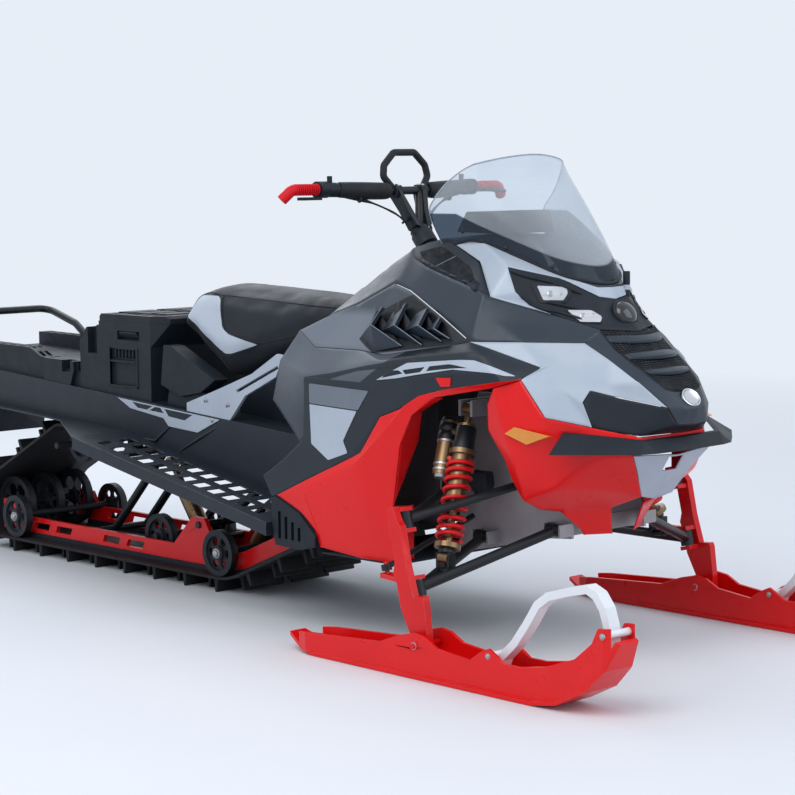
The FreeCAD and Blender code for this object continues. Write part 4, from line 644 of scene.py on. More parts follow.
def settle(maker):
    """Turns all faces of the gathered closed shapes outward."""
    bm = bmesh.new()
    verts = [bm.verts.new(v) for v in maker.verts]
    for face in maker.faces:
        bm.faces.new([verts[i] for i in face])
    bmesh.ops.recalc_face_normals(bm, faces=bm.faces)
    bm.verts.index_update()
    maker.faces = [tuple(v.index for v in face.verts) for face in bm.faces]
    bm.free()


TREES = {}


def tree_of(node):
    """Search tree of the finished mesh that shows a node."""
    obj = SKINS[node] if node in SKINS else bpy.data.objects[node]
    if obj.name not in TREES:
        bpy.context.view_layer.update()
        TREES[obj.name] = BVHTree.FromObject(obj, bpy.context.evaluated_depsgraph_get())
    return TREES[obj.name]


def inside(point, polygon):
    """Whether a flat point lies in an outline."""
    x, y = point
    found = False
    for (x0, y0), (x1, y1) in zip(polygon, polygon[1:] + polygon[:1]):
        if (y0 > y) != (y1 > y) and x < (x1 - x0) * (y - y0) / (y1 - y0) + x0:
            found = not found
    return found


CORNER_STEPS = 4


def rounded(points, radius):
    """Flat outline with its corners rounded."""
    out = []
    count = len(points)
    for i in range(count):
        p = Vector(points[i])
        a = Vector(points[i - 1]) - p
        b = Vector(points[(i + 1) % count]) - p
        reach = min(radius, a.length * 0.45, b.length * 0.45)
        start = p + a.normalized() * reach
        end = p + b.normalized() * reach
        for k in range(CORNER_STEPS + 1):
            t = k / CORNER_STEPS
            out.append(start * (1 - t) ** 2 + p * 2 * t * (1 - t) + end * t * t)
    return out


# how far out (m) the rays start that find a skin, and how far they go
RAY_START, RAY_LENGTH = 0.09, 0.22
# how far (m) from its aim a ray may land
LANDING = 0.04


def patch(name, outline, material, targets, holes=(), lift=1.2, thick=2.4, step=7.0, radius=5.0,
          normal=None, replaces=()):
    """Thin panel of a given outline (mm) laid on the skins under it, on both sides."""
    corners = [mm(*p) for p in outline]
    centre = sum(corners, Vector()) / len(corners)
    if normal is None:
        normal = Vector()
        for a, b in zip(corners, corners[1:] + corners[:1]):
            normal += (a - centre).cross(b - centre)
        if normal.dot(away(centre)) < 0:
            normal = -normal
    normal = Vector(normal).normalized()
    u = normal.orthogonal().normalized()
    v = normal.cross(u)

    def flat(points, r):
        pts = [((mm(*p) - centre).dot(u), (mm(*p) - centre).dot(v)) for p in points]
        area = sum(a[0] * b[1] - b[0] * a[1] for a, b in zip(pts, pts[1:] + pts[:1]))
        if area < 0:
            pts = pts[::-1]
        pts = rounded(pts, r * MM) if r > 0 else [Vector(p) for p in pts]
        out = []
        for a, b in zip(pts, pts[1:] + pts[:1]):
            count = max(1, int((b - a).length / (step * MM)))
            out += [a.lerp(b, k / count) for k in range(count)]
        clean = [out[0]]
        for p in out[1:]:
            if (p - clean[-1]).length > 2e-4 and (p - clean[0]).length > 2e-4:
                clean.append(p)
        return clean

    rim = flat(outline, radius)
    cuts = [flat(hole, min(radius, 3.0)) for hole in holes]
    points = list(rim)
    edges = [(i, (i + 1) % len(rim)) for i in range(len(rim))]
    for cut in cuts:
        base = len(points)
        points += cut
        edges += [(base + i, base + (i + 1) % len(cut)) for i in range(len(cut))]
    low = [min(p[k] for p in rim) for k in (0, 1)]
    high = [max(p[k] for p in rim) for k in (0, 1)]
    size = step * MM
    rim_list = [tuple(p) for p in rim]
    cut_lists = [[tuple(p) for p in cut] for cut in cuts]
    row = 0
    y = low[1] + size / 2
    while y < high[1]:
        x = low[0] + size / 2 + (row % 2) * size / 2
        while x < high[0]:
            if inside((x, y), rim_list) and not any(inside((x, y), c) for c in cut_lists):
                near = min((Vector((x, y)) - p).length for p in points[:len(rim) + sum(map(len, cuts))])
                if near > size * 0.45:
                    points.append(Vector((x, y)))
            x += size
        y += size * 0.87
        row += 1
    out_verts, _, out_faces, *_ = delaunay_2d_cdt(points, edges, [], 1, 1e-6)
    faces = []
    for face in out_faces:
        middle = sum((out_verts[i] for i in face), Vector((0, 0))) / len(face)
        if inside(middle, rim_list) and not any(inside(middle, c) for c in cut_lists):
            a, b, c = (out_verts[i] for i in face[:3])
            turn = (b - a).cross(c - a)
            faces.append(tuple(face) if turn > 0 else tuple(face)[::-1])
    trees = [tree_of(target) for target in targets]
    places = []
    depth = 0.0
    for p in out_verts:
        ray_from = centre + u * p[0] + v * p[1] + normal * RAY_START
        best = None
        for tree in trees:
            hit = tree.ray_cast(ray_from, -normal, 2.4 * RAY_START)
            if hit[0] is not None and (best is None or hit[3] < best):
                best = hit[3]
        if best is not None:
            depth = best
        places.append(ray_from - normal * depth + normal * lift * MM)
    used = sorted({i for face in faces for i in face})
    index = {old: new for new, old in enumerate(used)}
    maker = Maker()
    maker.add([places[i] for i in used], [tuple(index[i] for i in face) for face in faces], both=True)
    obj = maker.build(name, material, replaces=replaces, smooth=30.0)
    thicken(obj, thick * MM)
    soften(obj, min(0.0008, thick * MM * 0.3))
    return obj


def on_skin(point, direction, targets, lift=0.0):
    """Where a line (mm) from outside meets the skins, or the point itself."""
    place = mm(*point)
    ray = Vector(direction).normalized()
    best = None
    for target in targets:
        hit = tree_of(target).ray_cast(place - ray * RAY_START, ray, RAY_LENGTH)
        if hit[0] is not None and (best is None or hit[3] < best[1]):
            best = (hit[0], hit[3])
    return (best[0] if best else place) - ray * lift * MM


def lands(point, direction, target):
    """Whether a line (mm) meets a skin close to the point it aims at."""
    ray = Vector(direction).normalized()
    hit = tree_of(target).ray_cast(mm(*point) - ray * RAY_START, ray, RAY_LENGTH)
    return hit[0] is not None and abs(hit[3] - RAY_START) < LANDING


# edges of the carried-over nodes
ROUNDED = {"track": 0.0008, "tunnel": 0.0012, "running_boards": 0.001, "side_pods": 0.004,
           "storage_box": 0.0028, "storage_lid": 0.003, "cargo_deck": 0.0025, "front_bumper": 0.004,
           "toe_guards": 0.0015, "knuckle_right": 0.002, "knuckle_left": 0.002, "ski_right": 0.0018,
           "ski_left": 0.0018, "ski_loop_right": 0.004, "ski_loop_left": 0.004, "console": 0.003,
           "skid_rails": 0.0012, "bulkhead": 0.0015, "belly_floor": 0.0015, "snow_flap": 0.0015,
           "tail_lamp": 0.002, "tunnel_trims": 0.0006, "skid_wheels": 0.001, "drive_axle": 0.001,
           "seat_base": 0.002, "engine": 0.006, "reflectors": 0.0012}
for name, width in ROUNDED.items():
    node = NODES[name]
    weld = node.modifiers.new("weld", "WELD")
    weld.merge_threshold = WELD
    soften(node, width, 2 if width >= 0.0015 else 1, 38)

# side panels: insert, shield, tabs
SIDE = ("side_panels", "vents", "belly_pan")
patch("side_belt", [(422, -395, 677), (520, -395, 692), (640, -395, 719), (760, -395, 742),
                    (900, -395, 761), (1000, -395, 770), (1000, -395, 762), (797, -395, 734),
                    (700, -395, 716), (615, -395, 703), (517, -395, 674)], "graphite_dark", SIDE, lift=0.9,
      thick=1.4, normal=(0, -0.9, 0.42), radius=2.0)
patch("side_shield_low", [(444, -395, 603), (629, -395, 598), (579, -395, 519), (597, -395, 489),
                          (524, -395, 465), (455, -395, 502)], "silver_plastic", SIDE, lift=1.8, thick=1.8,
      normal=(0, -1, 0), radius=3.0)
patch("side_shield_top", [(441, -395, 657), (672, -395, 652), (634, -395, 601), (443, -395, 606)],
      "graphite_light", SIDE, lift=1.8, thick=1.8, normal=(0, -1, 0))
INSERT = [(698, -385, 678), (797, -385, 732), (1007, -385, 760), (1112, -385, 742), (1091, -385, 734),
          (955, -385, 726), (771, -385, 688)]
INSERT_HOLES = [[(717, -385, 685), (735, -385, 706), (772, -385, 710), (790, -385, 702)],
                [(786, -385, 711), (861, -385, 726), (850, -385, 710), (800, -385, 700)],
                [(875, -385, 729), (938, -385, 740), (997, -385, 736), (868, -385, 714)]]
patch("side_insert", INSERT, "silver_plastic", SIDE, holes=INSERT_HOLES, lift=2.6, thick=2.2,
      normal=(0, -0.9, 0.42), radius=4.0)
patch("side_insert_back", INSERT, "black_plastic", SIDE, lift=0.8, thick=1.4, normal=(0, -0.9, 0.42),
      radius=4.0)
patch("side_tab", [(906, -385, 699), (952, -385, 701), (948, -385, 680), (920, -385, 678)], "red_plastic",
      SIDE, lift=3.5, thick=3.5, normal=(0, -1, 0), radius=2.0)

# screen: one smooth sheet lofted from its foot on the hood to its lip
FOOT = [(742, -188), (800, -188), (857, -184), (960, -149), (1065, -108), (1112, -52), (1126, 0)]
SCREEN_ROWS = [
    [(712, -211, 1092), (785, -208, 1092), (862, -192, 1084), (952, -150, 1052), (1030, -104, 1010),
     (1068, -52, 990), (1080, 0, 984)],
    [(738, -217, 1135), (800, -208, 1136), (862, -182, 1130), (930, -140, 1106), (982, -94, 1080),
     (1008, -48, 1064), (1016, 0, 1058)],
    [(770, -206, 1172), (818, -192, 1174), (860, -163, 1168), (900, -126, 1154), (930, -86, 1138),
     (946, -43, 1128), (951, 0, 1124)],
    [(800, -186, 1200), (830, -168, 1203), (852, -142, 1200), (870, -110, 1194), (883, -76, 1186),
     (891, -38, 1180), (894, 0, 1178)],
    [(822, -166, 1216), (838, -148, 1222), (850, -126, 1227), (860, -98, 1232), (868, -66, 1236),
     (873, -33, 1239), (875, 0, 1240)]]


def whole(row):
    """A line of the right half and its other half."""
    return row + [flip(p) for p in row[-2::-1]]


def screen():
    """Clear sheet with a bright edge and a rubber foot."""
    foot = [on_skin((x, y, 1000), (0, 0, -1), ("hood", "lamp_bezel")) + mm(0, 0, 2) for x, y in FOOT]
    rows = [fair(whole(foot))] + [fair(whole([mm(*p) for p in row])) for row in SCREEN_ROWS]
    columns = [fair(column) for column in zip(*rows)]
    count = len(columns[0])
    maker = Maker()
    maker.add([p for column in columns for p in column],
              [(i * count + k, (i + 1) * count + k, (i + 1) * count + k + 1, i * count + k + 1)
               for i in range(len(columns) - 1) for k in range(count - 1)])
    sheet = maker.build("windshield_sheet", "screen", replaces=("windshield",), smooth=70.0)
    thicken(sheet, 0.003, 0.0)
    soften(sheet, 0.0009, 2, harden=False)
    lip = Maker()
    for line, radius in (([c[-1] for c in columns], 0.0021), (columns[0], 0.0018), (columns[-1], 0.0018)):
        lip.add(*tube(line, radius, 8))
    lip.build("screen_edge", "screen_rim")
    trim = Maker()
    trim.add(*tube([column[0] for column in columns], 0.0048, 8, flat=(1.0, 0.8)))
    trim.build("screen_trim", "black_rubber")
    return sheet


SKINS["windshield"] = screen()
studs = Maker()
for x, y, z in ((815, -200, 1052), (935, -168, 1014), (1050, -124, 968)):
    place = on_skin((x, y, z), (-0.35, 0.8, -0.45), ("windshield",))
    bolt(studs, place, (0.35, -0.8, 0.45), 4.2)
settle(studs)
studs.build("screen_studs", "black_plastic")

# lamps
LENS_A = [(1046, -170, 921), (1098, -121, 918), (1100, -119, 902), (1092, -128, 882), (1058, -163, 882)]
LENS_B = [(1106, -128, 858), (1150, -90, 860), (1172, -76, 843), (1170, -82, 826), (1138, -118, 828)]


def middle_of(points):
    """Mean of some points."""
    return sum((Vector(p) for p in points), Vector()) / len(points)


def scaled(points, share):
    """Outline drawn in or out from its middle."""
    middle = middle_of(points)
    return [tuple(middle + (Vector(p) - middle) * share) for p in points]


lamp_out = Vector((0.72, -0.55, 0.42))
for tag, lens, rim_share in (("a", LENS_A, 1.35), ("b", LENS_B, 1.12)):
    patch("lamp_rim_" + tag, scaled(lens, rim_share), "black_metal", ("lamp_housing",),
          holes=[scaled(lens, 1.02)], lift=3.2, thick=3.0, step=5.0, radius=7.0, normal=lamp_out)
    patch("lamp_bowl_" + tag, scaled(lens, 1.04), "chrome", ("lamp_housing",), lift=0.8, thick=1.0,
          step=5.0, radius=6.0, normal=lamp_out)
    patch("lamp_lens_" + tag, scaled(lens, 1.03), "lamp_clear", ("lamp_housing",), lift=3.0, thick=1.0,
          step=5.0, radius=6.0, normal=lamp_out, replaces=("headlamps",))
    bulb = Maker()
    seat_at = on_skin(middle_of(lens), -lamp_out, ("lamp_housing",), lift=0.6)
    out = lamp_out.normalized()
    for turn in (-1, 1):
        side = out.cross(Vector((0, 0, 1))).normalized() * (0.013 * turn)
        bulb.add(*lathe([(0.0, 0.009), (0.0012, 0.0088), (0.0022, 0.006), (0.0026, 0.002)], seat_at + side,
                        out, 20),
                 both=True)
    settle(bulb)
    bulb.build("lamp_reflectors_" + tag, "steel")
brow = Maker()
for line in ([(985, -212, 962), (1030, -190, 950), (1080, -150, 936), (1128, -95, 905)],
             [(1022, -210, 900), (1062, -180, 868), (1105, -150, 858), (1150, -118, 838)],
             [(1075, -170, 886), (1105, -142, 878), (1145, -105, 866)]):
    on_housing = [p for p in fair(line) if lands(p, -lamp_out, "lamp_housing")]
    ridge = [on_skin(p, -lamp_out, ("lamp_housing",), lift=1.0) for p in on_housing]
    if len(ridge) < 4:
        continue
    brow.add(*tube(ridge, [0.0012] + [0.0045] * (len(ridge) - 2) + [0.0012], 8), both=True)
brow.build("lamp_ridges", "black_plastic")
dome = Maker()
place = on_skin((1185, 0, 850), (-0.82, 0, -0.57), ("lamp_housing", "grille", "hood"), lift=-4.0)
dome.add(*lathe([(0.0, 0.034), (0.006, 0.033), (0.012, 0.029), (0.017, 0.022), (0.020, 0.013),
                 (0.021, 0.004)],
                place, (0.82, 0, 0.57), 36))
settle(dome)
dome.build("lamp_dome", "dark_gloss")
ring = Maker()
ring.add(*lathe([(-0.002, 0.038), (0.004, 0.0385), (0.0065, 0.036), (0.006, 0.033), (-0.002, 0.033)], place,
                (0.82, 0, 0.57), 36))
settle(ring)
ring.build("lamp_dome_ring", "black_plastic")

# side post behind the lamps
post = Maker()
for low, high, r in ((870, 884, 8.0), (884, 902, 9.0), (914, 948, 9.0)):
    post.add(*lathe([(0, r * MM * 0.9), (0.002, r * MM), ((high - low) * MM - 0.002, r * MM),
                     ((high - low) * MM, r * MM * 0.9)], mm(1132, 62, low), (0, 0, 1), 16))
settle(post)
post.build("marker_post", "black_plastic")
band = Maker()
band.add(*lathe([(0, 0.0088), (0.012, 0.0088)], mm(1132, 62, 902), (0, 0, 1), 16))
settle(band)
band.build("marker_band", "silver_plastic")

# grille: curved slats over a dark net
EDGE = [(1187, -100, 813), (1235, -96, 767), (1306, -84, 721), (1367, -62, 675)]
LINE = [(1228, 0, 806), (1262, 0, 770), (1318, 0, 722), (1371, 0, 668)]


# outward and upward, straight off the grille
GRILLE_OUT = Vector((0.7, 0, 0.7))
SLAT_STEPS, SLAT_POINTS = 24, 5


def along_line(line, share):
    """Point at a share of a smooth line's length."""
    pts = fair([mm(*p) for p in line], 10)
    place = share * (len(pts) - 1)
    i = min(int(place), len(pts) - 2)
    return pts[i].lerp(pts[i + 1], place - i)


slats = Maker()
for share, depth, out, width in ((0.10, 0.150, 0.010, 1.0), (0.42, 0.115, 0.016, 0.98),
                                 (0.68, 0.095, 0.016, 0.94)):
    verts = []
    for k in range(SLAT_STEPS + 1):
        t = k / SLAT_STEPS * 2 - 1
        bow = 1 - t * t
        edge_up = along_line(EDGE, share)
        edge_low = along_line(EDGE, min(1.0, share + depth * 0.8))
        mid_up = along_line(LINE, share)
        mid_low = along_line(LINE, min(1.0, share + depth * 1.25))
        up_point = edge_up.lerp(mid_up, bow)
        low_point = edge_low.lerp(mid_low, bow)
        up_point.y = t * abs(edge_up.y) * width
        low_point.y = t * abs(edge_low.y) * width
        lift_out = Vector((0.72, 0, 0.69)) * (out * (0.25 + 0.75 * bow ** 0.6))
        top = up_point + lift_out * 0.35
        nose_point = up_point.lerp(low_point, 0.82) + lift_out
        under = low_point + lift_out * 0.45
        back = up_point.lerp(low_point, 0.55) - GRILLE_OUT * 0.004
        verts += [top, up_point.lerp(low_point, 0.42) + lift_out * 0.85, nose_point, under, back]
    slats.add(verts, bar_faces(SLAT_STEPS + 1, SLAT_POINTS))
settle(slats)
slats.build("grille_slats", "graphite_plastic", smooth=34.0, bevel=0.0016)
back = Maker()
verts, faces = [], []
ROWS, COLS = 30, 20
for i in range(ROWS + 1):
    for k in range(COLS + 1):
        t = k / COLS * 2 - 1
        edge_at = along_line(EDGE, i / ROWS)
        p = edge_at.lerp(along_line(LINE, i / ROWS), 1 - t * t)
        p.y = t * abs(edge_at.y)
        verts.append(p - GRILLE_OUT * 0.002)
for i in range(ROWS):
    for k in range(COLS):
        a = i * (COLS + 1) + k
        faces.append((a, a + 1, a + COLS + 2, a + COLS + 1))
back.add(verts, faces)
settle(back)
pan = back.build("grille_back", "black_plastic", replaces=("grille",))
thicken(pan, 0.003)
net = Maker()
net.add([v + GRILLE_OUT * 0.004 for v in verts], faces)
settle(net)
wired(net.build("grille_net", "black_metal"), 0.0022)
badge = Maker()
place = on_skin((1392, 0, 655), (-0.85, 0, -0.5), ("hood", "grille"), lift=0.2)
verts, faces = lathe([(0.0, 0.026), (0.003, 0.026), (0.0045, 0.0245), (0.0045, 0.021), (0.0032, 0.0195),
                      (0.0036, 0.010), (0.0040, 0.002)], place, (0.85, 0, 0.55), 40)
badge.add([Vector((v.x, v.y * 1.15, place.z + (v.z - place.z) * 0.9)) for v in verts], faces)
settle(badge)
badge.build("nose_badge", "dark_gloss")
rim = Maker()
verts, faces = lathe([(0.001, 0.0245), (0.001, 0.027), (0.0045, 0.0265), (0.0055, 0.0245),
                      (0.0045, 0.0228)], place,
                     (0.85, 0, 0.55), 40)
rim.add([Vector((v.x, v.y * 1.15, place.z + (v.z - place.z) * 0.9)) for v in verts], faces)
settle(rim)
rim.build("nose_badge_rim", "chrome")

# side windows: frame, net and latch
WINDOW = [(606, -165, 1000), (742, -186, 1029), (880, -206, 973), (958, -252, 897), (948, -262, 905),
          (726, -227, 957), (636, -193, 979)]
INNER = [(650, -182, 990), (744, -200, 1012), (862, -222, 966), (925, -252, 915), (744, -226, 962),
         (674, -204, 980)]
WIN = ("mesh_windows", "hood", "lamp_bezel")
patch("window_frame", WINDOW, "graphite_dark", WIN, holes=[INNER], lift=3.0, thick=4.0, radius=9.0)
net_piece = patch("window_net", INNER, "black_metal", WIN, lift=1.2, thick=0.6, step=4.6, radius=2.0)
net_piece.modifiers.clear()
wired(net_piece, 0.0013)
bars = Maker()
BAR = [(741, -226, 960), (800, -212, 990)]
bar = [on_skin(p, (-0.2, 0.85, -0.45), WIN, lift=2.0) for p in fair(BAR, 5)]
bars.add(*tube(bar, 0.0012, 6), both=True)
bars.build("window_bars", "graphite_light")
latch = Maker()
place = on_skin((915, -255, 918), (-0.3, 0.85, -0.4), WIN, lift=2.0)
latch.add(*lathe([(0.0, 0.013), (0.004, 0.013), (0.0055, 0.011), (0.0035, 0.008)], place, (0.3, -0.85, 0.4),
                 24),
          both=True)
settle(latch)
latch.build("window_latches", "black_plastic")

# saddle: padded body, silver sides, seams
SEAT_CENTRE = Vector((-0.05, 0.0, 0.76))
SEAT_INSET = (0.988, 0.93, 0.955)
SEAT_VOXEL = 0.0055
SEAT_PRESSURE = 4.0
SEAT_FRAMES = 20
SEAT_SWELL = 0.009
SEAT_ROUNDS = 24
SEAT_PROUD = 0.004


def coordinates(mesh):
    """A mesh's vertices as rows of numbers."""
    values = np.empty(len(mesh.vertices) * 3)
    mesh.vertices.foreach_get("co", values)
    return values.reshape(-1, 3)


def padded_seat():
    """Saddle blown up a little by a cloth simulation from a shape slightly inside its solid."""
    mesh = NODES["seat"].data.copy()
    mesh.name = "seat_pad"
    pad = placed("seat_pad", mesh)
    bm = bmesh.new()
    bm.from_mesh(mesh)
    bmesh.ops.remove_doubles(bm, verts=bm.verts, dist=WELD)
    for vert in bm.verts:
        shift = vert.co - SEAT_CENTRE
        vert.co = SEAT_CENTRE + Vector([part * share for part, share in zip(shift, SEAT_INSET)])
    bm.to_mesh(mesh)
    bm.free()
    remesh = pad.modifiers.new("voxels", "REMESH")
    remesh.mode = "VOXEL"
    remesh.voxel_size = SEAT_VOXEL
    bpy.context.view_layer.update()
    depsgraph = bpy.context.evaluated_depsgraph_get()
    fine = bpy.data.meshes.new_from_object(pad.evaluated_get(depsgraph))
    pad.modifiers.clear()
    pad.data = fine
    start = coordinates(fine)
    end = start
    cloth = pad.modifiers.new("cloth", "CLOTH")
    cloth.settings.use_pressure = True
    cloth.settings.uniform_pressure_force = SEAT_PRESSURE
    cloth.settings.effector_weights.gravity = 0.0
    cloth.settings.quality = 6
    cloth.settings.tension_stiffness = 18.0
    cloth.settings.compression_stiffness = 18.0
    cloth.settings.bending_stiffness = 1.5
    scene = bpy.context.scene
    for number in range(1, SEAT_FRAMES + 1):
        scene.frame_set(number)
    depsgraph = bpy.context.evaluated_depsgraph_get()
    end = coordinates(pad.evaluated_get(depsgraph).to_mesh())
    pad.evaluated_get(depsgraph).to_mesh_clear()
    pad.modifiers.clear()
    scene.frame_set(1)
    move = end - start
    far = np.linalg.norm(move, axis=1)
    move *= (np.minimum(far, SEAT_SWELL) / np.maximum(far, 1e-9))[:, None]
    place = start + move
    bm = bmesh.new()
    bm.from_mesh(fine)
    ends = np.array([(e.verts[0].index, e.verts[1].index) for e in bm.edges])
    bm.free()
    for _ in range(SEAT_ROUNDS):
        total, amount = gathered(place, ends, lambda here, _: np.ones(len(here)))
        place = place + (total / np.maximum(amount, 1.0)[:, None] - place) * 0.5
    low, high = (np.array(corner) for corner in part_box("seat"))
    place = np.minimum(np.maximum(place, low - SEAT_PROUD), high + SEAT_PROUD)
    fine.vertices.foreach_set("co", place.ravel())
    fine.update()
    fine.shade_smooth()
    rounding = pad.modifiers.new("rounding", "SUBSURF")
    rounding.levels = 1
    rounding.render_levels = 1
    dress(pad, "seat_vinyl", replaces=("seat",))
    return pad


SKINS["seat"] = padded_seat()
SEAT_PANEL = [(-388, -165, 796), (-342, -165, 852), (-262, -165, 852), (-244, -165, 840), (-223, -165, 800),
              (-207, -165, 762), (-176, -165, 743), (-58, -165, 719), (-164, -165, 688), (-191, -165, 686)]
patch("seat_side_panels", SEAT_PANEL, "seat_silver", ("seat",), lift=1.4, thick=3.0, step=6.0, radius=8.0,
      normal=(0, -1, 0.12))
piping = Maker()


def on_seat(points):
    """Smooth line over the saddle's side."""
    return [on_skin(p, (0, 1, -0.1), ("seat",), lift=0.6) for p in fair(points, 7)]


for line in ([(-384, -165, 794), (-340, -165, 854), (-258, -165, 855), (-240, -165, 842), (-220, -165, 802),
              (-203, -165, 765), (-174, -165, 747), (-52, -165, 720)],
             [(-384, -165, 794), (-290, -165, 738), (-191, -165, 683), (-164, -165, 684), (-52, -165, 720)],
             [(-245, -160, 846), (-198, -160, 762), (-120, -155, 738), (-44, -150, 724), (107, -130, 752),
              (180, -120, 748), (285, -100, 752)],
             [(-255, -150, 853), (-100, -145, 846), (100, -130, 836), (255, -110, 826), (320, -90, 786)]):
    piping.add(*tube(on_seat(line), 0.0018, 8), both=True)
piping.build("seat_piping", "black_rubber")
stitches = Maker()
STITCH_STEP, STITCH_LENGTH = 8.0, 5.0
for line in ([(-262, -150, 862), (-100, -145, 855), (100, -130, 845), (255, -110, 835)],
             [(-250, -165, 838), (-228, -165, 800), (-211, -165, 768), (-182, -165, 750),
              (-70, -165, 722)]):
    pts = fair(line, 40)
    last = None
    for i, p in enumerate(pts[:-1]):
        if last is not None and (p - last).length < STITCH_STEP:
            continue
        last = p
        ahead = (pts[i + 1] - p).normalized() * STITCH_LENGTH
        thread = [on_skin(q, (0, 1, -0.35), ("seat",), lift=0.5) for q in (p, p + ahead)]
        stitches.add(*tube(thread, 0.0006, 5), both=True)
stitches.build("seat_stitches", "graphite_light")

# vent mouth with louvre fins, each with a painted highlight: a light strip along its ridge
FINS = [[(573, 786), (600, 828), (626, 869), (643, 806), (731, 764), (640, 744)],
        [(651, 800), (652, 860), (704, 884), (729, 809), (804, 770), (688, 794)],
        [(728, 804), (736, 862), (787, 872), (811, 813), (871, 783), (764, 798)],
        [(808, 812), (816, 846), (846, 846), (858, 810), (896, 792), (832, 802)]]
VENT = ("vents", "side_panels", "hood")
INWARD = Vector((0.0, 0.93, -0.36))
fins = Maker()
ridge_highlights = Maker()
for corners in FINS:
    root, upper, tip, knee, end, low = [on_skin((x, -330, z), INWARD, VENT, lift=1.0) for x, z in corners]
    knee = knee - INWARD * 0.034
    tip = tip - INWARD * 0.020
    end = end - INWARD * 0.004
    front = [root, upper, tip, knee, end, low]
    back = [p + INWARD * 0.012 for p in front]
    sides = [(i, (i + 1) % 6, (i + 1) % 6 + 6, i + 6) for i in range(6)]
    faces = [(0, 1, 2, 3), (0, 3, 5), (5, 3, 4)] + sides + [(9, 8, 7, 6), (11, 9, 6), (10, 9, 11)]
    fins.add(front + back, faces, both=True)
    # painted highlight: a light strip along each fin's ridge
    ridge_highlights.add(*tube([tip, knee, end], 0.0013, 6), both=True)
settle(fins)
fins.build("vent_fins", "graphite_plastic", smooth=20.0)
ridge_highlights.build("vent_fin_highlights", "graphite_light")

# shocks: coils, sleeves, reservoir rings
SHOCK_FOOT, SHOCK_HEAD = mm(950, -400, 262), mm(888, -250, 613)
SHOCK_AXIS = (SHOCK_HEAD - SHOCK_FOOT).normalized()
COIL_RADIUS, COIL_WIRE, COIL_TURNS, COIL_START, COIL_LENGTH = 0.0305, 0.0054, 9.5, 0.040, 0.216
COIL_CROWDING = 0.045


def coil():
    """Centre line of a spring, closer wound at its ends."""
    side = SHOCK_AXIS.orthogonal().normalized()
    up = SHOCK_AXIS.cross(side)
    count = int(COIL_TURNS * 28)
    pts = []
    for k in range(count + 1):
        t = k / count
        spread = t - COIL_CROWDING * math.sin(2 * math.pi * t)
        a = 2 * math.pi * COIL_TURNS * t
        along = COIL_START + COIL_WIRE + (COIL_LENGTH - 2 * COIL_WIRE) * spread
        pts.append(SHOCK_FOOT + SHOCK_AXIS * along + (side * math.cos(a) + up * math.sin(a)) * COIL_RADIUS)
    return pts


springs = Maker()
springs.add(*tube(coil(), COIL_WIRE, 10), both=True)
springs.build("spring_coils", "red_metal", replaces=("shock_springs",))
sleeves = Maker()
for start, profile in ((0.262, [(0, 0.026), (0.004, 0.0275), (0.030, 0.0275), (0.034, 0.026),
                                (0.070, 0.026), (0.078, 0.020)]),
                       (0.006, [(0, 0.014), (0.004, 0.021), (0.026, 0.021), (0.030, 0.019)])):
    sleeves.add(*lathe(profile, SHOCK_FOOT + SHOCK_AXIS * start, SHOCK_AXIS, 28), both=True)
settle(sleeves)
sleeves.build("shock_sleeves", "black_metal")
tank = Maker()
tank_rings = Maker()
TANK = SHOCK_FOOT + mm(-62, 0, 0)
tank.add(*lathe([(0, 0.0235), (0.003, 0.0242), (0.018, 0.0242), (0.020, 0.0225), (0.023, 0.0225),
                 (0.025, 0.0242), (0.040, 0.0242), (0.044, 0.021), (0.058, 0.019), (0.060, 0.015)],
                TANK + SHOCK_AXIS * 0.296, SHOCK_AXIS, 28), both=True)
for at in (0.288, 0.228, 0.214):
    tank_rings.add(*lathe([(0, 0.0225), (0.001, 0.0238), (0.006, 0.0238), (0.007, 0.0225)],
                          TANK + SHOCK_AXIS * at, SHOCK_AXIS, 28), both=True)
tank_rings.add(*lathe([(-0.010, 0.012), (-0.009, 0.016), (-0.001, 0.018), (0.0, 0.0205)],
                      TANK + SHOCK_AXIS * 0.206, SHOCK_AXIS, 28), both=True)
settle(tank)
settle(tank_rings)
tank.build("reservoir_caps", "black_metal")
tank_rings.build("reservoir_rings", "steel")

# handlebar: riser plates, clamps, sleeves and cables strapped to the riser
plates = Maker()
clamps = Maker()
clamp_bolts = Maker()
POST_AXIS = (mm(455, 0, 1040) - mm(700, 0, 745)).normalized()
for side in (-1, 1):
    low, top = mm(458, 20 * side, 1046), mm(411, 47 * side, 1146)
    ahead = Vector((0.90, 0.0, 0.43))
    thick = Vector((0, 0.0075, 0.003 * side))
    outline = [low - ahead * 0.020, low + ahead * 0.020, low.lerp(top, 0.45) + ahead * 0.015,
               top + ahead * 0.020, top + ahead * 0.012 + mm(0, 0, 14), top - ahead * 0.016 + mm(0, 0, 12),
               top - ahead * 0.024, low.lerp(top, 0.5) - ahead * 0.019]
    plates.add(*prism([p - thick for p in outline], thick * 2))
    corners = ((-19, -8), (-14, -17), (14, -17), (19, -8), (19, 9), (13, 17), (-13, 17), (-19, 9))
    block = [top + mm(x, 0, z) for x, z in corners]
    clamps.add(*prism([p - mm(0, 12, 0) for p in block], mm(0, 24, 0)))
    for x in (-9, 9):
        bolt(clamp_bolts, top + mm(x, 0, 17.2), (0, 0, 1), 3.6, both=False)
settle(plates)
settle(clamps)
settle(clamp_bolts)
plates.build("riser_plates", "black_metal", "steering", bevel=0.002)
clamps.build("riser_clamps", "black_plastic", "steering", bevel=0.002)
clamp_bolts.build("riser_bolts", "steel", "steering")
sleeves = Maker()
sleeve = fair([mm(*p) for p in ((380, -222, 1153), (392, -180, 1151), (404, -136, 1149), (411, -96, 1148),
                                (412, -72, 1148))], 6)
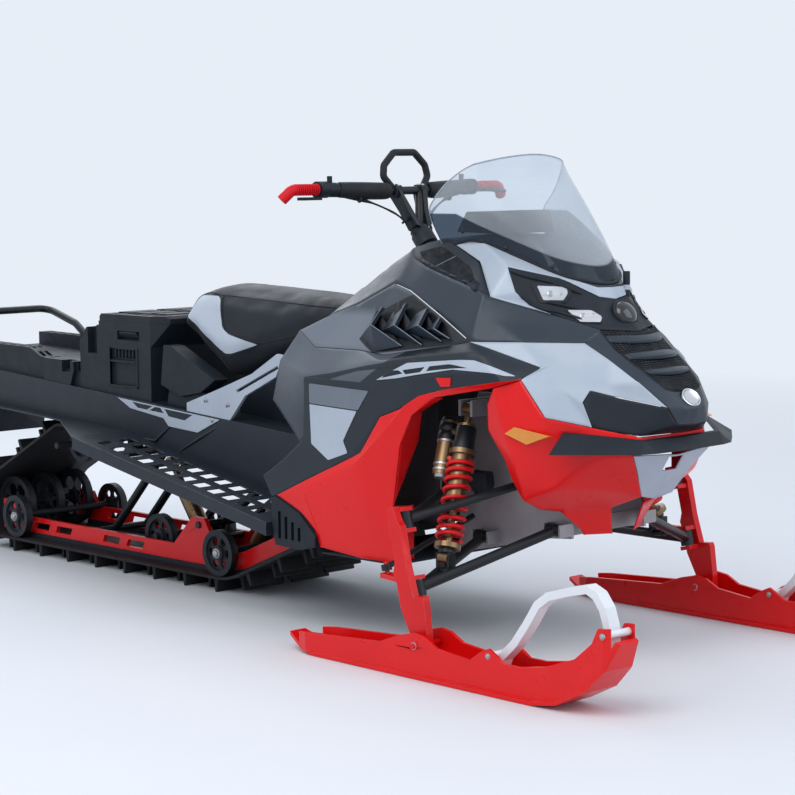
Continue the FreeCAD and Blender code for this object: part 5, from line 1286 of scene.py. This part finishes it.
count = len(sleeve)
swell = [0.0185 + 0.0022 * math.sin(3.1 * i / count) - 0.002 * (i > count - 3) for i in range(count)]
sleeves.add(*tube(sleeve, swell, 16, flat=(1.0, 1.12)), both=True)
sleeves.build("bar_sleeves", "black_rubber", "steering")
cables = Maker()
for shift, radius in ((0, 2.6), (7, 2.2), (-7, 1.8)):
    route = [(386 + shift, -205, 1133), (399, -165, 1127 + shift * 0.6), (414, -118, 1112),
             (430 + shift * 0.5, -72, 1090), (446, -46, 1068 - shift * 0.4), (459 + shift * 0.4, -38, 1047),
             (468, -32, 1033)]
    cables.add(*tube(fair([mm(*p) for p in route], 7), radius * MM, 8), both=True)
cables.build("bar_cables", "black_rubber", "steering")
ties = Maker()
for place, along in (((399, -165, 1128), (0.27, 0.85, -0.25)), ((446, -46, 1068), (0.5, 0.45, -0.7))):
    ties.add(*lathe([(-0.003, 0.0095), (-0.002, 0.0105), (0.002, 0.0105), (0.003, 0.0095)], mm(*place),
                    along, 14),
             both=True)
settle(ties)
ties.build("cable_ties", "black_plastic", "steering")
hub = Maker()
hub.add(*lathe([(-0.052, 0.024), (-0.048, 0.030), (-0.012, 0.030), (-0.006, 0.026), (0.004, 0.026),
                (0.008, 0.020)],
               mm(455, 0, 1040), POST_AXIS, 28))
settle(hub)
hub.build("riser_hub", "black_plastic", "steering")
grip_ribs = Maker()
GRIP_LINE = [mm(*p) for p in ((386, -300, 1155), (378, -383, 1155))]
for k in range(11):
    at = GRIP_LINE[0].lerp(GRIP_LINE[1], 0.06 + 0.083 * k)
    grip_ribs.add(*lathe([(-0.0016, 0.0140), (-0.0008, 0.0153), (0.0008, 0.0153), (0.0016, 0.0140)], at,
                         GRIP_LINE[1] - GRIP_LINE[0], 22), both=True)
settle(grip_ribs)
grip_ribs.build("grip_ribs", "red_rubber", "steering")

# bolts on struts, trims and tunnel, and pressed ribs along the tunnel
heads = Maker()
for x, z in ((-202, 556), (-104, 549), (-172, 501)):
    bolt(heads, on_skin((x, -235, z), (0, 1, 0), ("seat_struts", "tunnel_trims", "tunnel"), lift=0.4),
         (0, -1, 0), 5.0)
settle(heads)
heads.build("side_bolts", "steel")
ribs = Maker()
for start, middle, end in (((-545, 423), (-439, 420), (-351, 482)),
                           ((-331, 397), (-250, 436), (-158, 480))):
    line = [on_skin((x, -235, z), (0, 1, 0), ("tunnel",), lift=1.0)
            for x, z in (start, ((start[0] + middle[0]) / 2, (start[1] + middle[1]) / 2), middle,
                         ((end[0] + middle[0]) / 2, (end[1] + middle[1]) / 2), end)]
    ribs.add(*tube(line, [0.0012, 0.0045, 0.0052, 0.0045, 0.0012], 8, flat=(0.9, 0.9)), both=True)
ribs.build("tunnel_ribs", "tunnel_black")

# storage box: frame and ribs of the side recess, handle lip, lid pads
BOX_SIDE = -205.0
box_trim = Maker()
for k in range(7):
    x = -654 + 17 * k
    box_trim.add(*prism([mm(x, BOX_SIDE + 10, 652), mm(x + 7, BOX_SIDE + 10, 652),
                         mm(x + 6, BOX_SIDE + 3, 656), mm(x + 1, BOX_SIDE + 3, 656)], mm(0, 0, 22)),
                 both=True)
for x0, x1, z0, z1 in ((-678, -672, 566, 686), (-541, -535, 566, 686), (-678, -535, 566, 572),
                       (-668, -545, 640, 646)):
    box_trim.add(*prism([mm(x0, BOX_SIDE + 6, z0), mm(x1, BOX_SIDE + 6, z0), mm(x1, BOX_SIDE + 6, z1),
                         mm(x0, BOX_SIDE + 6, z1)], mm(0, -8.5, 0)), both=True)
box_trim.add(*prism([mm(-629, BOX_SIDE + 14, 711), mm(-533, BOX_SIDE + 14, 711),
                     mm(-536, BOX_SIDE + 1, 718), mm(-540, BOX_SIDE - 2, 728), mm(-622, BOX_SIDE - 2, 728),
                     mm(-626, BOX_SIDE + 1, 718)],
                    mm(0, 0, 4)), both=True)
settle(box_trim)
box_trim.build("box_trim", "black_plastic", bevel=0.0012)
lid_pads = Maker()
LID_Z = 782.0
for x0, x1, half in ((-700, -640, 150), (-620, -560, 150), (-540, -480, 135)):
    for y0, y1 in ((-half, -24), (24, half)):
        lid_pads.add(*prism([mm(x0, y0, LID_Z - 1), mm(x1, y0 + 6, LID_Z - 1), mm(x1, y1 - 6, LID_Z - 1),
                             mm(x0, y1, LID_Z - 1)], mm(0, 0, 4)))
for k in range(6):
    lid_pads.add(*prism([mm(-690 + 34 * k, -14, LID_Z - 1), mm(-676 + 34 * k, -14, LID_Z - 1),
                         mm(-676 + 34 * k, 14, LID_Z - 1), mm(-690 + 34 * k, 14, LID_Z - 1)], mm(0, 0, 5)))
settle(lid_pads)
lid_pads.build("lid_pads", "black_plastic", "lid", bevel=0.0014)

# skis: loop bolts, axle nuts and wear bars; they turn with each ski
SKI_Y, SKI_BOLT_Y = 525, 49
for side, name in ((-1, "right"), (1, "left")):
    body = "ski_%s_body" % name
    nuts = Maker()
    for face in (-1, 1):
        y = SKI_Y * side + face * SKI_BOLT_Y
        for x, z in ((1262, 90), (1612, 186)):
            bolt(nuts, mm(x, y, z), (0, face, 0), 5.5, both=False)
        bolt(nuts, mm(1015, y, 78), (0, face, 0), 7.0, both=False)
    settle(nuts)
    nuts.build("ski_bolts_" + name, "steel", body)
    wear = Maker()
    line = [mm(x, SKI_Y * side, z) for x, z in ((720, 7), (735, 4.6), (1000, 4.4), (1340, 4.6), (1372, 8))]
    wear.add(*tube(line, 0.0042, 10))
    wear.build("ski_runner_" + name, "steel", body)

# hub bolts on the bogie wheels, and the black unit by the bulkhead
hubs = Maker()
for x in (-190, -1212):
    bolt(hubs, on_skin((x, -180, 113), (0, 1, 0), ("skid_wheels",), lift=0.5), (0, -1, 0), 11)
settle(hubs)
hubs.build("wheel_hub_bolts", "steel")
unit = Maker()
for outline, depth in (([(842, 448), (902, 448), (908, 412), (896, 396), (852, 396), (842, 412)], 34),
                       ([(852, 398), (896, 398), (890, 384), (858, 384)], 26)):
    unit.add(*prism([mm(x, -180, z) for x, z in outline], mm(0, -depth, 0)))
settle(unit)
unit.build("bulkhead_unit", "black_plastic", bevel=0.005)

# stage, camera and light
CAMERA_AT = Vector((4.9065, -4.2951, 1.2249))
YAW, PITCH, ROLL = math.radians(46.62), math.radians(5.85), math.radians(-0.61)
forward = Vector((-math.sin(YAW) * math.cos(PITCH), math.cos(YAW) * math.cos(PITCH), -math.sin(PITCH)))
level = forward.cross(Vector((0, 0, 1))).normalized()
above = level.cross(forward)
right = level * math.cos(ROLL) + above * math.sin(ROLL)
up = above * math.cos(ROLL) - level * math.sin(ROLL)
camera = placed("camera", bpy.data.cameras.new("camera"))
camera.data.lens = 104.15
camera.data.sensor_width = 36.0
camera.data.clip_end = 100.0
camera.matrix_world = Matrix((
    (right.x, up.x, -forward.x, CAMERA_AT.x),
    (right.y, up.y, -forward.y, CAMERA_AT.y),
    (right.z, up.z, -forward.z, CAMERA_AT.z),
    (0, 0, 0, 1)))
bpy.context.scene.camera = camera


def direct_sight(tree):
    """One for rays from the camera, off gloss or through glass."""
    path = tree.nodes.new("ShaderNodeLightPath")
    looked = math_node(tree, "MAXIMUM", path.outputs["Is Camera Ray"], path.outputs["Is Glossy Ray"])
    return math_node(tree, "MAXIMUM", looked, path.outputs["Is Transmission Ray"])


def lit(tree, kind, colour, strength):
    """Emission or background node of one colour."""
    node = tree.nodes.new(kind)
    node.inputs["Color"].default_value = (*colour, 1.0)
    node.inputs["Strength"].default_value = strength
    return node


FLOOR = 40.0
floor_mesh = bpy.data.meshes.new("floor")
floor_mesh.from_pydata([(-FLOOR, -FLOOR, 0), (FLOOR, -FLOOR, 0), (FLOOR, FLOOR, 0), (-FLOOR, FLOOR, 0)], [],
                       [(0, 1, 2, 3)])
floor = placed("floor", floor_mesh)
floor.location.z = -0.0008
BACKDROP = (0.80, 0.855, 0.93)
ground = surface("floor_pale", (0.69, 0.715, 0.76), (0.72, 0.745, 0.79), (0.7, 0.85), blotch=0.6)
tree = ground.node_tree
shader = next(n for n in tree.nodes if n.type == "BSDF_PRINCIPLED")
ground_out = next(n for n in tree.nodes if n.type == "OUTPUT_MATERIAL")
distance = tree.nodes.new("ShaderNodeVectorMath")
distance.operation = "LENGTH"
tree.links.new(coords(tree), distance.inputs[0])
glow = lit(tree, "ShaderNodeEmission", BACKDROP, 1.0)
fade = tree.nodes.new("ShaderNodeMixShader")
far = mapped(tree, distance.outputs["Value"], 2.2, 7.0, 0.0, 1.0)
tree.links.new(math_node(tree, "MULTIPLY", direct_sight(tree), far), fade.inputs["Fac"])
tree.links.new(shader.outputs["BSDF"], fade.inputs[1])
tree.links.new(glow.outputs["Emission"], fade.inputs[2])
tree.links.new(fade.outputs["Shader"], ground_out.inputs["Surface"])
floor.data.materials.append(ground)

world = bpy.data.worlds.new("sky")
bpy.context.scene.world = world
world.use_nodes = True
tree = world.node_tree
tree.nodes.clear()
world_out = tree.nodes.new("ShaderNodeOutputWorld")
soft = lit(tree, "ShaderNodeBackground", (0.80, 0.86, 0.95), 0.72)
seen = lit(tree, "ShaderNodeBackground", BACKDROP, 1.0)
choose = tree.nodes.new("ShaderNodeMixShader")
tree.links.new(direct_sight(tree), choose.inputs["Fac"])
tree.links.new(soft.outputs["Background"], choose.inputs[1])
tree.links.new(seen.outputs["Background"], choose.inputs[2])
tree.links.new(choose.outputs["Shader"], world_out.inputs["Surface"])


def area_light(name, place, target, size, power, colour):
    """Soft square lamp that looks at a point."""
    data = bpy.data.lights.new(name, "AREA")
    data.size = size
    data.energy = power
    data.color = colour
    lamp = placed(name, data)
    lamp.location = place
    lamp.rotation_mode = "QUATERNION"
    lamp.rotation_quaternion = (Vector(target) - Vector(place)).to_track_quat("-Z", "Y")


area_light("key", (1.5, -3.8, 4.6), (0.2, 0, 0.5), 4.0, 150.0, (1.0, 0.98, 0.95))
area_light("fill", (5.0, 1.5, 3.2), (0.5, 0, 0.5), 4.0, 80.0, (0.92, 0.96, 1.0))
area_light("back", (-3.5, 1.5, 4.0), (-0.3, 0, 0.6), 4.0, 100.0, (0.95, 0.97, 1.0))

scene = bpy.context.scene
scene.view_settings.view_transform = "Standard"
